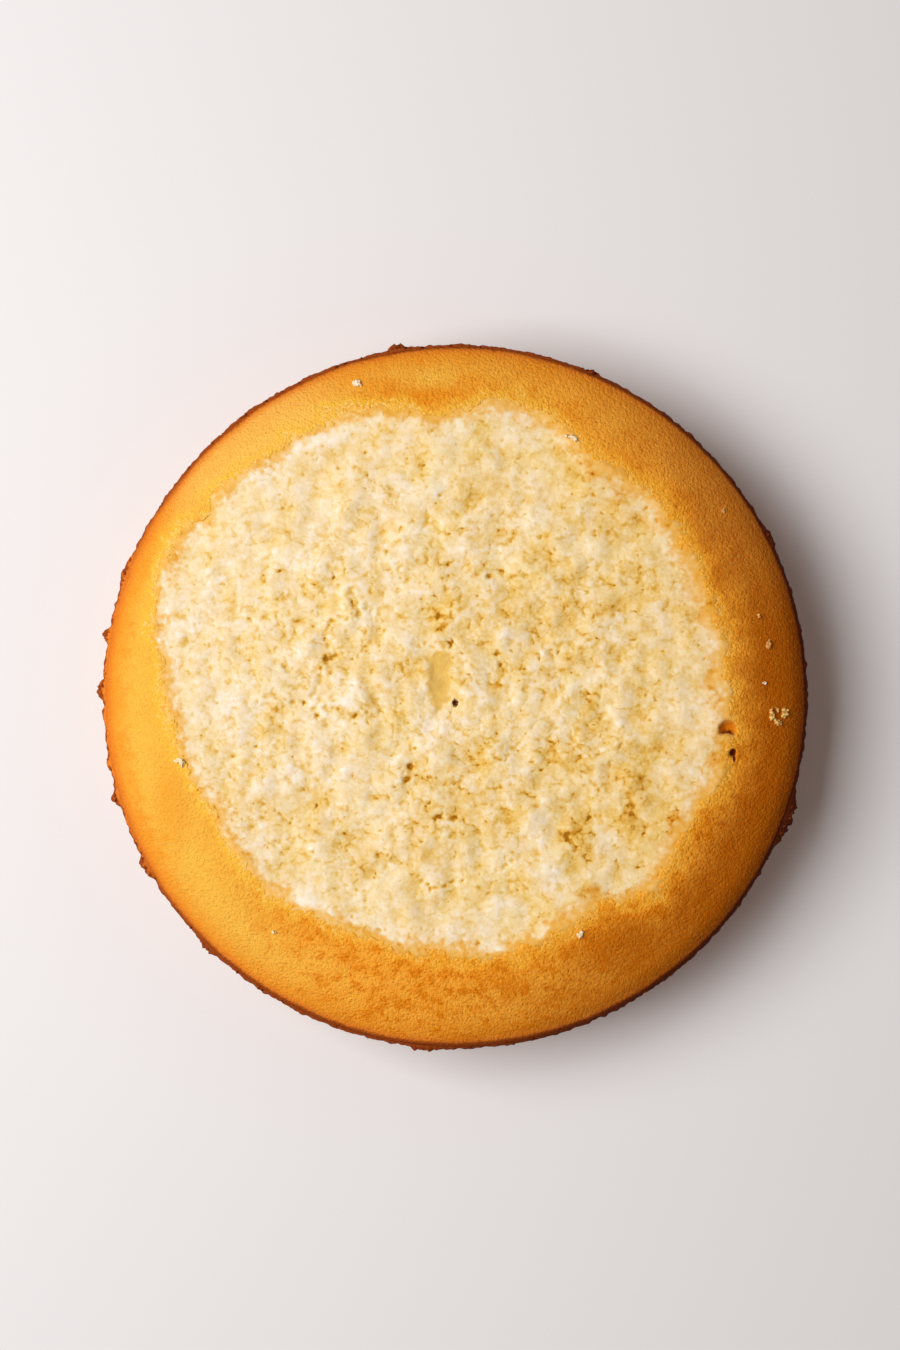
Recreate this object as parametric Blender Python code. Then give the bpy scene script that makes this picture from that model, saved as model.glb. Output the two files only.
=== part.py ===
"""One layer of white cake, baked in a 203 mm (8 inch) tin, with the crown of its dome sliced off.

The layer is one closed solid. Its side leans in a little towards the base, a thin ragged lip
runs round the top of the side, a browned crust slopes up from that lip, and the cut face
inside the crust is rough crumb. Metres, +Z up, with the origin under the middle of the
layer, on the face that it rests on.
"""

import math

import bmesh
import bpy
from mathutils import Vector, noise
from mathutils.geometry import delaunay_2d_cdt

# Driving sizes of the layer
RIM_RADIUS = 0.0980
BASE_RADIUS = 0.0964
SIDE_HEIGHT = 0.0350
DOME_RISE = 0.0170
BASE_CORNER = 0.0025

# The dome's section: flat in the middle, steeper towards the rim
DOME_FLATNESS = 2.4
DOME_SHOULDER = 0.7

# The cut face. Its outline is a radius every 15 degrees, anticlockwise from +X
CUT_RADII_MM = (
    75.2, 75.2, 76.2, 77.3, 76.2, 83.0, 80.1, 82.4,
    84.1, 85.5, 89.0, 86.0, 79.7, 76.5, 73.4, 73.6,
    70.9, 70.4, 71.1, 71.7, 69.6, 75.5, 73.2, 76.4,
)
CUT_EDGE_DROP = 0.0005
CUT_EDGE_FADE = 8
CLUMP_SIZE = 0.0085
CLUMP_RELIEF = 0.0008
CRAG_SIZE = 0.0040
CRAG_RELIEF = 0.0005
CRAG_OFFSET = Vector((7.3, 2.1, 4.6))

# A gouge in the middle of the cut, where the crumb was pressed: its middle, half sizes, how far
# it leans for its length, and its depth
GOUGE_MIDDLE = (-0.0046, 0.0060)
GOUGE_HALF_SIZE = (0.0038, 0.0104)
GOUGE_SLANT = 0.08
GOUGE_DEPTH = 0.0005

# Two burst bubbles at the edge of the cut: angle in degrees, then radius out, size and depth
BUBBLES = (
    (353.3, 0.0754, 0.0028, 0.0022),
    (348.5, 0.0778, 0.0014, 0.0016),
)

# Broad swells of the crust
SWELL_SIZE = 0.0180
SWELL_RELIEF = 0.0005

# The lip at the top of the side, and its relief. Its section goes from the crust round to the
# side: reach beyond the rim, drop below the top of the side, and share of the ragged relief
LIP_SECTION = (
    (0.00025, 0.0, 0.7),
    (0.00050, 0.0011, 1.0),
    (0.0, 0.0026, 0.2),
)
SIDE_TOP = SIDE_HEIGHT - 0.0052
CRUST_EDGE_INSET = 0.0013
LIP_NOISE_SIZE = 0.0040
LIP_NOISE_REACH = 0.0004

# Flakes of browned crust that stand out of the lip: angle and half width in degrees, reach
FLAKE_ROUNDNESS = 0.7
FLAKES = (
    (27.0, 2.6, 0.0007),
    (67.0, 1.4, 0.0006),
    (99.5, 1.6, 0.0015),
    (126.0, 2.5, 0.0004),
    (159.0, 3.4, 0.0010),
    (170.0, 1.3, 0.0013),
    (178.7, 1.7, 0.0016),
    (191.0, 1.3, 0.0009),
    (196.7, 1.4, 0.0017),
    (208.7, 2.2, 0.0011),
    (225.5, 2.0, 0.0008),
    (265.0, 3.0, 0.0009),
    (340.0, 5.0, 0.0016),
)

# Relief of the side, which set against the tin
SIDE_NOISE_SIZE = 0.0105
SIDE_NOISE_RELIEF = 0.0006

# How finely the solid is divided
SEGMENTS = 220
CRUMB_RINGS = 26
CRUST_RINGS = 6
SIDE_RINGS = 4
CORNER_STEPS = 3
RING_GROWTH = 6
TRIANGLES_INSIDE_OUTLINE = 1
POINT_TOLERANCE = 1e-7

# Colours and roughness of the crumb, the crust on top and the crust of the side
CRUMB_LOOK = ((0.86, 0.70, 0.42), 0.9)
CRUST_LOOK = ((0.72, 0.36, 0.08), 0.6)
SIDE_LOOK = ((0.38, 0.14, 0.03), 0.7)
SHARP_ANGLE = math.radians(40)


def clear_scene():
    for thing in list(bpy.data.objects):
        bpy.data.objects.remove(thing)


def make_material(name, colour, roughness):
    material = bpy.data.materials.new(name)
    material.use_nodes = True
    shader = material.node_tree.nodes["Principled BSDF"]
    shader.inputs["Base Color"].default_value = (*colour, 1.0)
    shader.inputs["Roughness"].default_value = roughness
    shader.inputs["Metallic"].default_value = 0.0
    return material


def cut_radius(angle):
    """Radius of the cut face's outline, on a smooth closed curve through CUT_RADII_MM."""
    count = len(CUT_RADII_MM)
    place = (angle / (2 * math.pi)) % 1.0 * count
    first = int(place)
    share = place - first
    before, low, high, after = (CUT_RADII_MM[(first + k) % count] for k in (-1, 0, 1, 2))
    smooth = 0.5 * (
        2 * low
        + (high - before) * share
        + (2 * before - 5 * low + 4 * high - after) * share**2
        + (3 * low - before - 3 * high + after) * share**3
    )
    return smooth / 1000


def around(radius, angle, height):
    return Vector((radius * math.cos(angle), radius * math.sin(angle), height))


def lip_relief(angle):
    """How far the lip stands out at an angle: fine raggedness and the named flakes."""
    on_rim = around(RIM_RADIUS, angle, 0.0)
    reach = LIP_NOISE_REACH * abs(noise.noise(on_rim / LIP_NOISE_SIZE))
    for degrees, half_width, height in FLAKES:
        away = (math.degrees(angle) - degrees + 180) % 360 - 180
        if abs(away) < half_width:
            reach += height * math.cos(away / half_width * math.pi / 2) ** FLAKE_ROUNDNESS
    return reach


def dome_height(radius):
    """Height of the crust, from the lip at the rim up to the shoulder."""
    share = min(radius / RIM_RADIUS, 1.0)
    return SIDE_HEIGHT + DOME_RISE * (1 - share**DOME_FLATNESS) ** DOME_SHOULDER


def bubble_depth(place):
    depth = 0.0
    for degrees, radius, size, deep in BUBBLES:
        middle = around(radius, math.radians(degrees), 0.0)
        away = (Vector((place.x, place.y, 0.0)) - middle).length
        if away < size:
            depth += deep * math.cos(away / size * math.pi / 2)
    return depth


def gouge_depth(place):
    up = place.y - GOUGE_MIDDLE[1]
    across = place.x - GOUGE_MIDDLE[0] - GOUGE_SLANT * up
    away = math.hypot(across / GOUGE_HALF_SIZE[0], up / GOUGE_HALF_SIZE[1])
    return GOUGE_DEPTH * math.cos(away * math.pi / 2) if away < 1 else 0.0


def crust_swell(place):
    """Broad, shallow rise and fall of the crust, which dies out at the rim."""
    flat = Vector((place.x, place.y, 0.0))
    inside = min((RIM_RADIUS - flat.length) / SWELL_SIZE, 1.0)
    return SWELL_RELIEF * inside * noise.noise(flat / SWELL_SIZE)


def crumb_relief(place):
    """Rise and fall of the torn crumb: broad clumps with smaller crags on them."""
    flat = Vector((place.x, place.y, 0.0))
    clumps = noise.noise(flat / CLUMP_SIZE)
    crags = noise.noise(flat / CRAG_SIZE + CRAG_OFFSET)
    return CLUMP_RELIEF * clumps + CRAG_RELIEF * crags


def crumb_point(share, angle):
    """A point of the cut face, at a share of the way from the middle to its outline."""
    edge = cut_radius(angle)
    middle_height = dome_height(sum(CUT_RADII_MM) / len(CUT_RADII_MM) / 1000)
    height = middle_height + (dome_height(edge) - middle_height) * share**2
    place = around(edge * share, angle, height)
    away_from_edge = 1 - share**CUT_EDGE_FADE
    place.z += away_from_edge * (crumb_relief(place) - CUT_EDGE_DROP)
    place.z += crust_swell(place) - bubble_depth(place) - gouge_depth(place)
    return place


def crust_point(share, angle):
    """A point of the browned crust, at a share of the way from the cut to the lip."""
    inner = cut_radius(angle)
    outer = RIM_RADIUS - CRUST_EDGE_INSET
    radius = inner + (outer - inner) * share
    place = around(radius, angle, dome_height(radius))
    place.z += crust_swell(place) - bubble_depth(place)
    return place


def lip_point(section, angle):
    """A point of the lip, on one line of its section."""
    reach, drop, ragged_share = section
    radius = RIM_RADIUS + reach + ragged_share * lip_relief(angle)
    return around(radius, angle, SIDE_HEIGHT - drop)


def side_point(height, angle):
    """A point of the side, which leans in from the rim to the base."""
    share = (height - BASE_CORNER) / (SIDE_HEIGHT - BASE_CORNER)
    radius = BASE_RADIUS + (RIM_RADIUS - BASE_RADIUS) * share
    place = around(radius, angle, height)
    relief = SIDE_NOISE_RELIEF * noise.noise(place / SIDE_NOISE_SIZE)
    return around(radius + relief, angle, height)


def corner_point(turn, angle):
    """A point of the rounded edge under the side, turn 0 at the side and 1 at the base."""
    bend = turn * math.pi / 2
    radius = BASE_RADIUS - BASE_CORNER * (1 - math.cos(bend))
    return around(radius, angle, BASE_CORNER * (1 - math.sin(bend)))


def ring_of(form, point_at):
    """A closed ring of vertices, one for each segment."""
    step = 2 * math.pi / SEGMENTS
    return [form.verts.new(point_at(k * step)) for k in range(SEGMENTS)]


def join_rings(form, upper, lower, slot):
    """Faces between two rings, the upper or inner one first."""
    for k in range(SEGMENTS):
        after = (k + 1) % SEGMENTS
        face = form.faces.new((upper[k], lower[k], lower[after], upper[after]))
        face.material_index = slot


def crumb_face(form, outline, slot):
    """Fills the cut's outline with rings of points, each ring with six more than the last."""
    inner = [crumb_point(0.0, 0.0)]
    for ring in range(1, CRUMB_RINGS):
        count = ring * RING_GROWTH
        turn = noise.cell(Vector((ring, 0.0, 0.0))) * 2 * math.pi
        for k in range(count):
            inner.append(crumb_point(ring / CRUMB_RINGS, turn + k * 2 * math.pi / count))
    points = [vertex.co.copy() for vertex in outline] + inner
    edges = [(k, (k + 1) % SEGMENTS) for k in range(SEGMENTS)]
    flat = [point.to_2d() for point in points]
    triangles = delaunay_2d_cdt(flat, edges, [], TRIANGLES_INSIDE_OUTLINE, POINT_TOLERANCE)[2]
    vertices = list(outline) + [form.verts.new(point) for point in inner]
    for corners in triangles:
        face = form.faces.new([vertices[k] for k in corners])
        face.material_index = slot


def build_form():
    """The whole layer as one closed mesh, from the cut face out and down to the base."""
    crumb_slot, crust_slot, side_slot = range(3)
    form = bmesh.new()
    outline = ring_of(form, lambda a: crust_point(0.0, a))
    crumb_face(form, outline, crumb_slot)

    last = outline
    for k in range(1, CRUST_RINGS + 1):
        ring = ring_of(form, lambda a, s=k / CRUST_RINGS: crust_point(s, a))
        join_rings(form, last, ring, crust_slot)
        last = ring

    for section in LIP_SECTION:
        ring = ring_of(form, lambda a, s=section: lip_point(s, a))
        join_rings(form, last, ring, side_slot)
        last = ring

    for k in range(SIDE_RINGS):
        height = SIDE_TOP + (BASE_CORNER - SIDE_TOP) * k / (SIDE_RINGS - 1)
        ring = ring_of(form, lambda a, h=height: side_point(h, a))
        join_rings(form, last, ring, side_slot)
        last = ring

    for k in range(1, CORNER_STEPS + 1):
        ring = ring_of(form, lambda a, t=k / CORNER_STEPS: corner_point(t, a))
        join_rings(form, last, ring, side_slot)
        last = ring

    base = form.faces.new(list(reversed(last)))
    base.material_index = side_slot
    bmesh.ops.recalc_face_normals(form, faces=form.faces)
    return form


def centre_on_origin(form):
    """Moves the form so that its box stands centred on the origin."""
    low = Vector([min(vertex.co[k] for vertex in form.verts) for k in range(3)])
    high = Vector([max(vertex.co[k] for vertex in form.verts) for k in range(3)])
    middle = (low + high) / 2
    bmesh.ops.translate(form, verts=form.verts, vec=(-middle.x, -middle.y, -low.z))


def make_cake():
    form = build_form()
    centre_on_origin(form)
    mesh = bpy.data.meshes.new("cake")
    form.to_mesh(mesh)
    form.free()
    mesh.materials.append(make_material("white_crumb", *CRUMB_LOOK))
    mesh.materials.append(make_material("top_crust", *CRUST_LOOK))
    mesh.materials.append(make_material("side_crust", *SIDE_LOOK))
    mesh.shade_smooth()
    mesh.set_sharp_from_angle(angle=SHARP_ANGLE)
    cake = bpy.data.objects.new("cake", mesh)
    bpy.context.scene.collection.objects.link(cake)


clear_scene()
make_cake()
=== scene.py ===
"""Looks of one layer of white cake, baked in a round tin, with the crown of its dome sliced off.

Three closed pieces stand for the CAD solid: the crumb, which fills the layer and shows torn in
the cut face, the browned crust left in a ring on top, and the crust of the side and base, which
set against the tin. A few loose crumbs lie on the crust, and browned crumbs cling to the rim.
Metres, +Z up.
"""

import math
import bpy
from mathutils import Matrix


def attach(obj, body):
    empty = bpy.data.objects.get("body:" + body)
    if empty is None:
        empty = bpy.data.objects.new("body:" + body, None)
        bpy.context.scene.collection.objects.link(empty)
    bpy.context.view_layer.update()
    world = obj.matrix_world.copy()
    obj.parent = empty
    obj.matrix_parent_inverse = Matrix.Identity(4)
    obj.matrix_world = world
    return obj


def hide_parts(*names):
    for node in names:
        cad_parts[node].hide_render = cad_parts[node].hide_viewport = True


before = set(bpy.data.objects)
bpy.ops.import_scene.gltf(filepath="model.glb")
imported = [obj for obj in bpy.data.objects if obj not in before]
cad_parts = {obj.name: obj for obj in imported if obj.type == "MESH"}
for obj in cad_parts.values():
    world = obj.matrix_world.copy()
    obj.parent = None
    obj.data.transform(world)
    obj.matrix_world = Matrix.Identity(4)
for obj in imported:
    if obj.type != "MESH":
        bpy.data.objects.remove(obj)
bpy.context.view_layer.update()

from types import SimpleNamespace

import bmesh
import bpy
import numpy as np
from mathutils import Matrix, Vector, noise

# The layer's driving sizes, as in the CAD model
RIM_RADIUS = 0.0980
BASE_RADIUS = 0.0964
SIDE_HEIGHT = 0.0350
DOME_RISE = 0.0170
BASE_CORNER = 0.0025
DOME_FLATNESS = 2.4
DOME_SHOULDER = 0.7
CUT_RADII_MM = (
    75.2, 75.2, 76.2, 77.3, 76.2, 83.0, 80.1, 82.4,
    84.1, 85.5, 89.0, 86.0, 79.7, 76.5, 73.4, 73.6,
    70.9, 70.4, 71.1, 71.7, 69.6, 75.5, 73.2, 76.4,
)
CUT_EDGE_DROP = 0.0005
CUT_EDGE_FADE = 8
CLUMP_SIZE = 0.0085
CLUMP_RELIEF = 0.0008
CRAG_SIZE = 0.0040
CRAG_RELIEF = 0.0005
CRAG_SHIFT = (7.3, 2.1, 4.6)
SWELL_SIZE = 0.0180
SWELL_RELIEF = 0.0005
LIP_SECTION = (
    (0.00025, 0.0, 0.7),
    (0.00050, 0.0011, 1.0),
    (0.0, 0.0026, 0.2),
)
LIP_DEPTH = 0.0052
CRUST_EDGE_INSET = 0.0013
LIP_NOISE_SIZE = 0.0040
LIP_NOISE_REACH = 0.0004
FLAKE_ROUNDNESS = 0.7
FLAKES = (
    (27.0, 2.6, 0.0007),
    (67.0, 1.4, 0.0006),
    (99.5, 1.6, 0.0015),
    (126.0, 2.5, 0.0004),
    (159.0, 3.4, 0.0010),
    (170.0, 1.3, 0.0013),
    (178.7, 1.7, 0.0016),
    (191.0, 1.3, 0.0009),
    (196.7, 1.4, 0.0017),
    (208.7, 2.2, 0.0011),
    (225.5, 2.0, 0.0008),
    (265.0, 3.0, 0.0009),
    (340.0, 5.0, 0.0016),
)
SIDE_NOISE_SIZE = 0.0105
SIDE_NOISE_RELIEF = 0.0006

# The smooth gouge in the middle of the cut, and the burst bubbles at its right edge. The gouge's
# outline wanders by a share of its half size, for each size of wander, and its smoothness is the
# share of the crumb's roughness that it takes away
GOUGE_MIDDLE = (-0.0046, 0.0060)
GOUGE_HALF_SIZE = (0.0038, 0.0104)
GOUGE_SLANT = 0.08
GOUGE_DEPTH = 0.0005
GOUGE_WANDERS = ((0.0040, 0.35), (0.0020, 0.30))
GOUGE_SLOPE = (1.2, 0.4)
GOUGE_SMOOTHNESS = 0.9
BUBBLES = (
    (353.3, 0.0754, 0.0028, 0.0022),
    (348.5, 0.0778, 0.0014, 0.0016),
)

# The arched lump that stands in the larger bubble's lower half, and the gap in the other, which is only
# painted shadow
LUMP_MIDDLE = (0.0745, -0.0127)
LUMP_RADIUS = 0.0027
LUMP_SLOPE = (0.75, 1.1)
GAP_MIDDLE = (0.0764, -0.0152)
GAP_HALF_SIZE = (0.0010, 0.0012)
GAP_TAIL = (0.0767, -0.0168)
GAP_TAIL_HALF_SIZE = (0.0004, 0.0012)

# The tester's hole near the middle of the cut: place, half size and depth
TESTER_HOLE = (-0.0001, -0.0016)
TESTER_HALF_SIZE = (0.0008, 0.0012)
TESTER_DEPTH = 0.0014

# Crevices where the crumb tore: half width and depth, then points in mm on the cut face
CREVICES = (
    (0.9, 0.50, ((-30.0, 21.8), (-32.5, 22.1), (-34.9, 20.0), (-36.3, 16.9), (-34.9, 13.8))),
    (1.3, 0.70, ((-32.1, 11.7), (-36.3, 9.6))),
    (0.8, 0.45, ((-36.3, 9.6), (-37.3, 6.1), (-38.7, 1.2), (-41.2, -1.3), (-45.0, -1.4))),
    (1.1, 0.60, ((-39.1, -3.3), (-37.3, -5.4), (-35.9, -7.9))),
    (0.9, 0.45, ((-35.9, -2.7), (-32.4, -3.0), (-29.0, -5.4), (-24.8, -4.4))),
    (1.3, 0.55, ((-28.6, 29.8), (-27.9, 26.0), (-26.5, 22.5))),
    (0.8, 0.50, ((1.1, -50.3), (-2.3, -51.5), (-6.9, -52.4), (-9.4, -50.3))),
    (0.8, 0.45, ((17.0, -44.0), (12.0, -47.4))),
    (1.6, 0.80, ((-11.9, -18.9), (-13.6, -22.7))),
    (1.0, 0.60, ((-5.2, -32.9), (2.0, -33.3))),
    (0.9, 0.50, ((30.4, -37.7), (33.3, -42.3), (36.7, -44.4))),
    (0.6, 1.10, ((-2.9, 15.6), (-1.6, 15.0), (-1.1, 14.2))),
    (1.6, 0.60, ((-4.3, 21.8), (-2.9, 20.6))),
    (1.0, 0.45, ((9.3, 33.3), (15.5, 33.1), (19.9, 33.3))),
    (1.2, 0.50, ((11.6, 11.9), (12.8, 8.2), (11.9, 4.9))),
)
CREVICE_WANDER_SIZE = 0.0013
CREVICE_WANDER = 0.0010
CREVICE_BREAK_SIZE = 0.0020
CREVICE_BREAKS = (-0.5, 0.4)

# The cut's ragged edge: how far the crust's edge wanders, and tongues of crust that the knife
# passed over. A tongue has its angle and half width in degrees, and how far in it reaches
EDGE_WANDER_SIZE = 0.0060
EDGE_WANDER = 0.0026
EDGE_WANDER_SHIFT = (3.1, 0.0, 0.0)
EDGE_TATTER_SIZE = 0.0015
EDGE_TATTER = 0.0016
EDGE_TATTER_SHIFT = (0.0, 5.7, 0.0)
TONGUES = (
    (4.0, 3.0, 0.0020),
    (24.0, 3.5, 0.0016),
    (34.0, 5.0, 0.0012),
    (94.0, 5.0, 0.0032),
    (114.0, 5.0, -0.0015),
    (126.0, 4.0, 0.0010),
    (144.5, 3.0, 0.0030),
    (173.0, 4.0, 0.0016),
    (203.0, 5.0, 0.0012),
    (216.0, 3.0, -0.0012),
    (290.0, 3.0, -0.0018),
    (306.0, 3.0, 0.0024),
)

# Pale clumps and deeper patches of the crumb: middle and half width in mm, and how far they
# raise or lower its tone
CLUMPS = (
    (-13.1, -21.7, 2.4, -0.24), (-34.8, 9.6, 2.2, -0.20), (31.2, 9.1, 2.4, -0.22),
    (-25.4, -47.0, 2.2, -0.22), (33.4, -18.4, 2.4, -0.22), (43.0, 46.4, 2.2, -0.20),
    (14.7, 15.9, 2.2, 0.20), (46.8, -33.0, 2.6, -0.20), (26.2, 43.4, 2.4, -0.22),
    (-4.5, 21.2, 2.2, -0.20), (32.3, -38.7, 3.4, -0.20), (6.7, 0.8, 2.2, 0.18),
    (8.9, -16.5, 2.0, -0.18), (11.1, 3.6, 2.0, -0.18), (14.7, -32.7, 2.2, -0.20),
    (-49.3, -9.6, 2.2, -0.20), (-23.2, 23.1, 2.2, 0.20), (8.1, -64.8, 4.6, 0.12),
    (-5.4, -7.4, 3.2, 0.18), (41.3, -39.6, 2.4, 0.16), (-28.7, -0.3, 2.4, 0.16),
    (23.5, 49.7, 3.2, 0.16), (12.8, 38.7, 2.4, 0.16), (-24.3, -58.2, 4.6, 0.12),
    (26.5, -50.8, 3.6, 0.12), (-38.1, -53.6, 4.6, 0.10), (49.3, -23.3, 3.2, -0.16),
    (38.9, 22.7, 2.8, -0.24), (37.2, -3.3, 2.2, -0.18), (4.0, -45.6, 3.2, 0.12),
    (-46.6, 11.3, 3.2, 0.11), (-47.7, -17.9, 4.2, 0.11), (53.3, -37.0, 7.0, -0.14),
    (36.4, -52.5, 2.8, -0.28), (14.5, 23.0, 3.0, -0.18), (-4.0, 56.0, 3.0, 0.14),
)

# Where crumb and crust meet, each dips under the other, and the crumb's relief is calm
SKIN_DIP = 0.0018
SKIN_DIP_WIDTH = 0.0022
CALM_WIDTH = 0.0030
CALM_ROUGHNESS = 0.25

# Where the crumb tore most: the middle of that area, and where its roughness starts to fade
TORN_MIDDLE = Vector((-0.010, -0.002, 0.0))
TORN_REACH = (0.082, 0.040)
TORN_WANDER_SIZE = 0.022
TORN_WANDER = 0.030

# Sizes of the torn relief that is finer than the CAD model's, which the crumb's tree takes
TORN_SIZES = {
    "Warp size": 0.0030,
    "Warp": 0.0018,
    "Lump size": 0.0026,
    "Lump relief": 0.00008,
    "Tuft spacing": 0.0042,
    "Tuft width": 0.0030,
    "Tuft height": 0.00030,
    "Valley spacing": 0.0075,
    "Valley depth": 0.00016,
    "Pore size": 0.0019,
    "Pore depth": 0.00024,
    "Grain size": 0.0010,
    "Grain relief": 0.00004,
}

# How finely the pieces are divided
CRUMB_STEP = 0.00052
CRUMB_MARGIN = 0.0026
CRUST_SEGMENTS = 1500
CRUST_ROWS = 54
CRUST_MARGIN = 0.0032
SIDE_SEGMENTS = 1100
SIDE_ROWS = 50
LIP_ROWS = 3
CORNER_ROWS = 6
BASE_ROWS = 8


def smooth_step(low, high, value):
    """0 below low, 1 above high, and a smooth rise between them. low may be the larger."""
    share = min(max((value - low) / (high - low), 0.0), 1.0)
    return share * share * (3 - 2 * share)


def arch(away, half_width):
    """1 in the middle of a stretch, falling like an arch to 0 at its ends, and 0 beyond them."""
    return math.cos(away / half_width * math.pi / 2) if abs(away) < half_width else 0.0


def wave(place, size, shift=(0.0, 0.0, 0.0)):
    """Soft noise about 0, its features a given size across. A shift gives another stretch of it."""
    return noise.noise(place / size + Vector(shift))


def waves(place, sizes):
    """The sum of waves, each with its size and its share."""
    return sum(share * wave(place, size) for size, share in sizes)


def around(radius, angle, height):
    return Vector((radius * math.cos(angle), radius * math.sin(angle), height))


def away_from(angle, degrees):
    """Degrees from one angle, given in radians, to another, between -180 and 180."""
    return (math.degrees(angle) - degrees + 180) % 360 - 180


def cut_radius(angle):
    """Radius of the cut face's outline, on a smooth closed curve through CUT_RADII_MM."""
    count = len(CUT_RADII_MM)
    place = (angle / (2 * math.pi)) % 1.0 * count
    first = int(place)
    share = place - first
    before, low, high, after = (CUT_RADII_MM[(first + k) % count] for k in (-1, 0, 1, 2))
    smooth = 0.5 * (
        2 * low
        + (high - before) * share
        + (2 * before - 5 * low + 4 * high - after) * share**2
        + (3 * low - before - 3 * high + after) * share**3
    )
    return smooth / 1000


def dome_height(radius):
    """Height of the crust, from the lip at the rim up to the shoulder."""
    share = min(radius / RIM_RADIUS, 1.0)
    return SIDE_HEIGHT + DOME_RISE * (1 - share**DOME_FLATNESS) ** DOME_SHOULDER


MIDDLE_HEIGHT = dome_height(sum(CUT_RADII_MM) / len(CUT_RADII_MM) / 1000)


def lip_relief(angle):
    """How far the lip stands out at an angle: fine raggedness and the named flakes."""
    reach = LIP_NOISE_REACH * abs(wave(around(RIM_RADIUS, angle, 0.0), LIP_NOISE_SIZE))
    for degrees, half_width, height in FLAKES:
        reach += height * arch(away_from(angle, degrees), half_width) ** FLAKE_ROUNDNESS
    return reach


def top_height(flat):
    """Height of the top with no fine relief: the cut face inside its outline, the dome outside."""
    radius = flat.length
    edge = cut_radius(math.atan2(flat.y, flat.x))
    swell = SWELL_RELIEF * min((RIM_RADIUS - radius) / SWELL_SIZE, 1.0) * wave(flat, SWELL_SIZE)
    if radius >= edge:
        return dome_height(radius) + swell
    share = radius / edge
    return MIDDLE_HEIGHT + (dome_height(edge) - MIDDLE_HEIGHT) * share**2 + swell


def beyond_cut(flat):
    """Distance outwards from the cut's ragged edge: above 0 on the crust, below 0 on the crumb."""
    angle = math.atan2(flat.y, flat.x)
    beyond = flat.length - cut_radius(angle)
    beyond += EDGE_WANDER * wave(flat, EDGE_WANDER_SIZE, EDGE_WANDER_SHIFT)
    beyond += EDGE_TATTER * wave(flat, EDGE_TATTER_SIZE, EDGE_TATTER_SHIFT)
    for degrees, half_width, reach in TONGUES:
        beyond += reach * arch(away_from(angle, degrees), half_width)
    return beyond


def bubble_depth(flat):
    """Depth of the burst bubbles at a point, less the lump that stands in the larger one."""
    depth = 0.0
    for degrees, radius, size, deep in BUBBLES:
        depth += deep * arch((flat - around(radius, math.radians(degrees), 0.0)).length, size)
    from_lump = (flat - Vector((*LUMP_MIDDLE, 0.0))).length / LUMP_RADIUS
    return depth * smooth_step(*LUMP_SLOPE, from_lump)


def gouge_share(flat):
    """1 in the middle of the gouge, falling to 0 at its rim."""
    up = flat.y - GOUGE_MIDDLE[1]
    across = flat.x - GOUGE_MIDDLE[0] - GOUGE_SLANT * up
    away = math.hypot(across / GOUGE_HALF_SIZE[0], up / GOUGE_HALF_SIZE[1])
    return smooth_step(*GOUGE_SLOPE, away + waves(flat, GOUGE_WANDERS))


def tester_depth(flat):
    along_x = (flat.x - TESTER_HOLE[0]) / TESTER_HALF_SIZE[0]
    along_y = (flat.y - TESTER_HOLE[1]) / TESTER_HALF_SIZE[1]
    return TESTER_DEPTH * max(1 - along_x**2 - along_y**2, 0.0)


def crevice_depth(flat):
    """How deep a point lies in the crevices, whose edges wander and whose depth comes and goes."""
    deepest = 0.0
    for half_width, depth, points in CREVICES:
        reach = half_width / 1000 + CREVICE_WANDER
        low_x, low_y = (min(point[k] for point in points) / 1000 - reach for k in (0, 1))
        high_x, high_y = (max(point[k] for point in points) / 1000 + reach for k in (0, 1))
        if not (low_x < flat.x < high_x and low_y < flat.y < high_y):
            continue
        nearest = reach
        for start, end in zip(points, points[1:]):
            from_start = Vector((flat.x - start[0] / 1000, flat.y - start[1] / 1000))
            line = Vector((end[0] - start[0], end[1] - start[1])) / 1000
            share = min(max(from_start.dot(line) / line.length_squared, 0.0), 1.0)
            nearest = min(nearest, (from_start - line * share).length)
        nearest += CREVICE_WANDER * wave(flat, CREVICE_WANDER_SIZE)
        away = max(nearest, 0.0) * 1000 / half_width
        deepest = max(deepest, depth / 1000 * (1 - away**2))
    return deepest * smooth_step(*CREVICE_BREAKS, wave(flat, CREVICE_BREAK_SIZE))


def clump_tones(points):
    """How much paler or deeper the clumps make the crumb at each point."""
    flats = np.array(points)[:, :2]
    tones = np.zeros(len(flats))
    for x, y, half_width, tone in CLUMPS:
        away = np.hypot(*(flats * 1000 - (x, y)).T) / half_width
        tones += tone * np.exp(-0.5 * away**2)
    return tones


def torn_share(flat):
    """1 where the crumb tore into lumps, falling to 0 where the knife cut it clean."""
    away = (flat - TORN_MIDDLE).length + TORN_WANDER * wave(flat, TORN_WANDER_SIZE)
    return smooth_step(*TORN_REACH, away)


# What is marked on each point of the crumb: mm beyond the cut's edge, share torn, roughness, mm
# deep in a crevice, and share in the gouge
CRUMB_MARKS = ("beyond", "torn", "rough", "crevice", "gouge")


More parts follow.
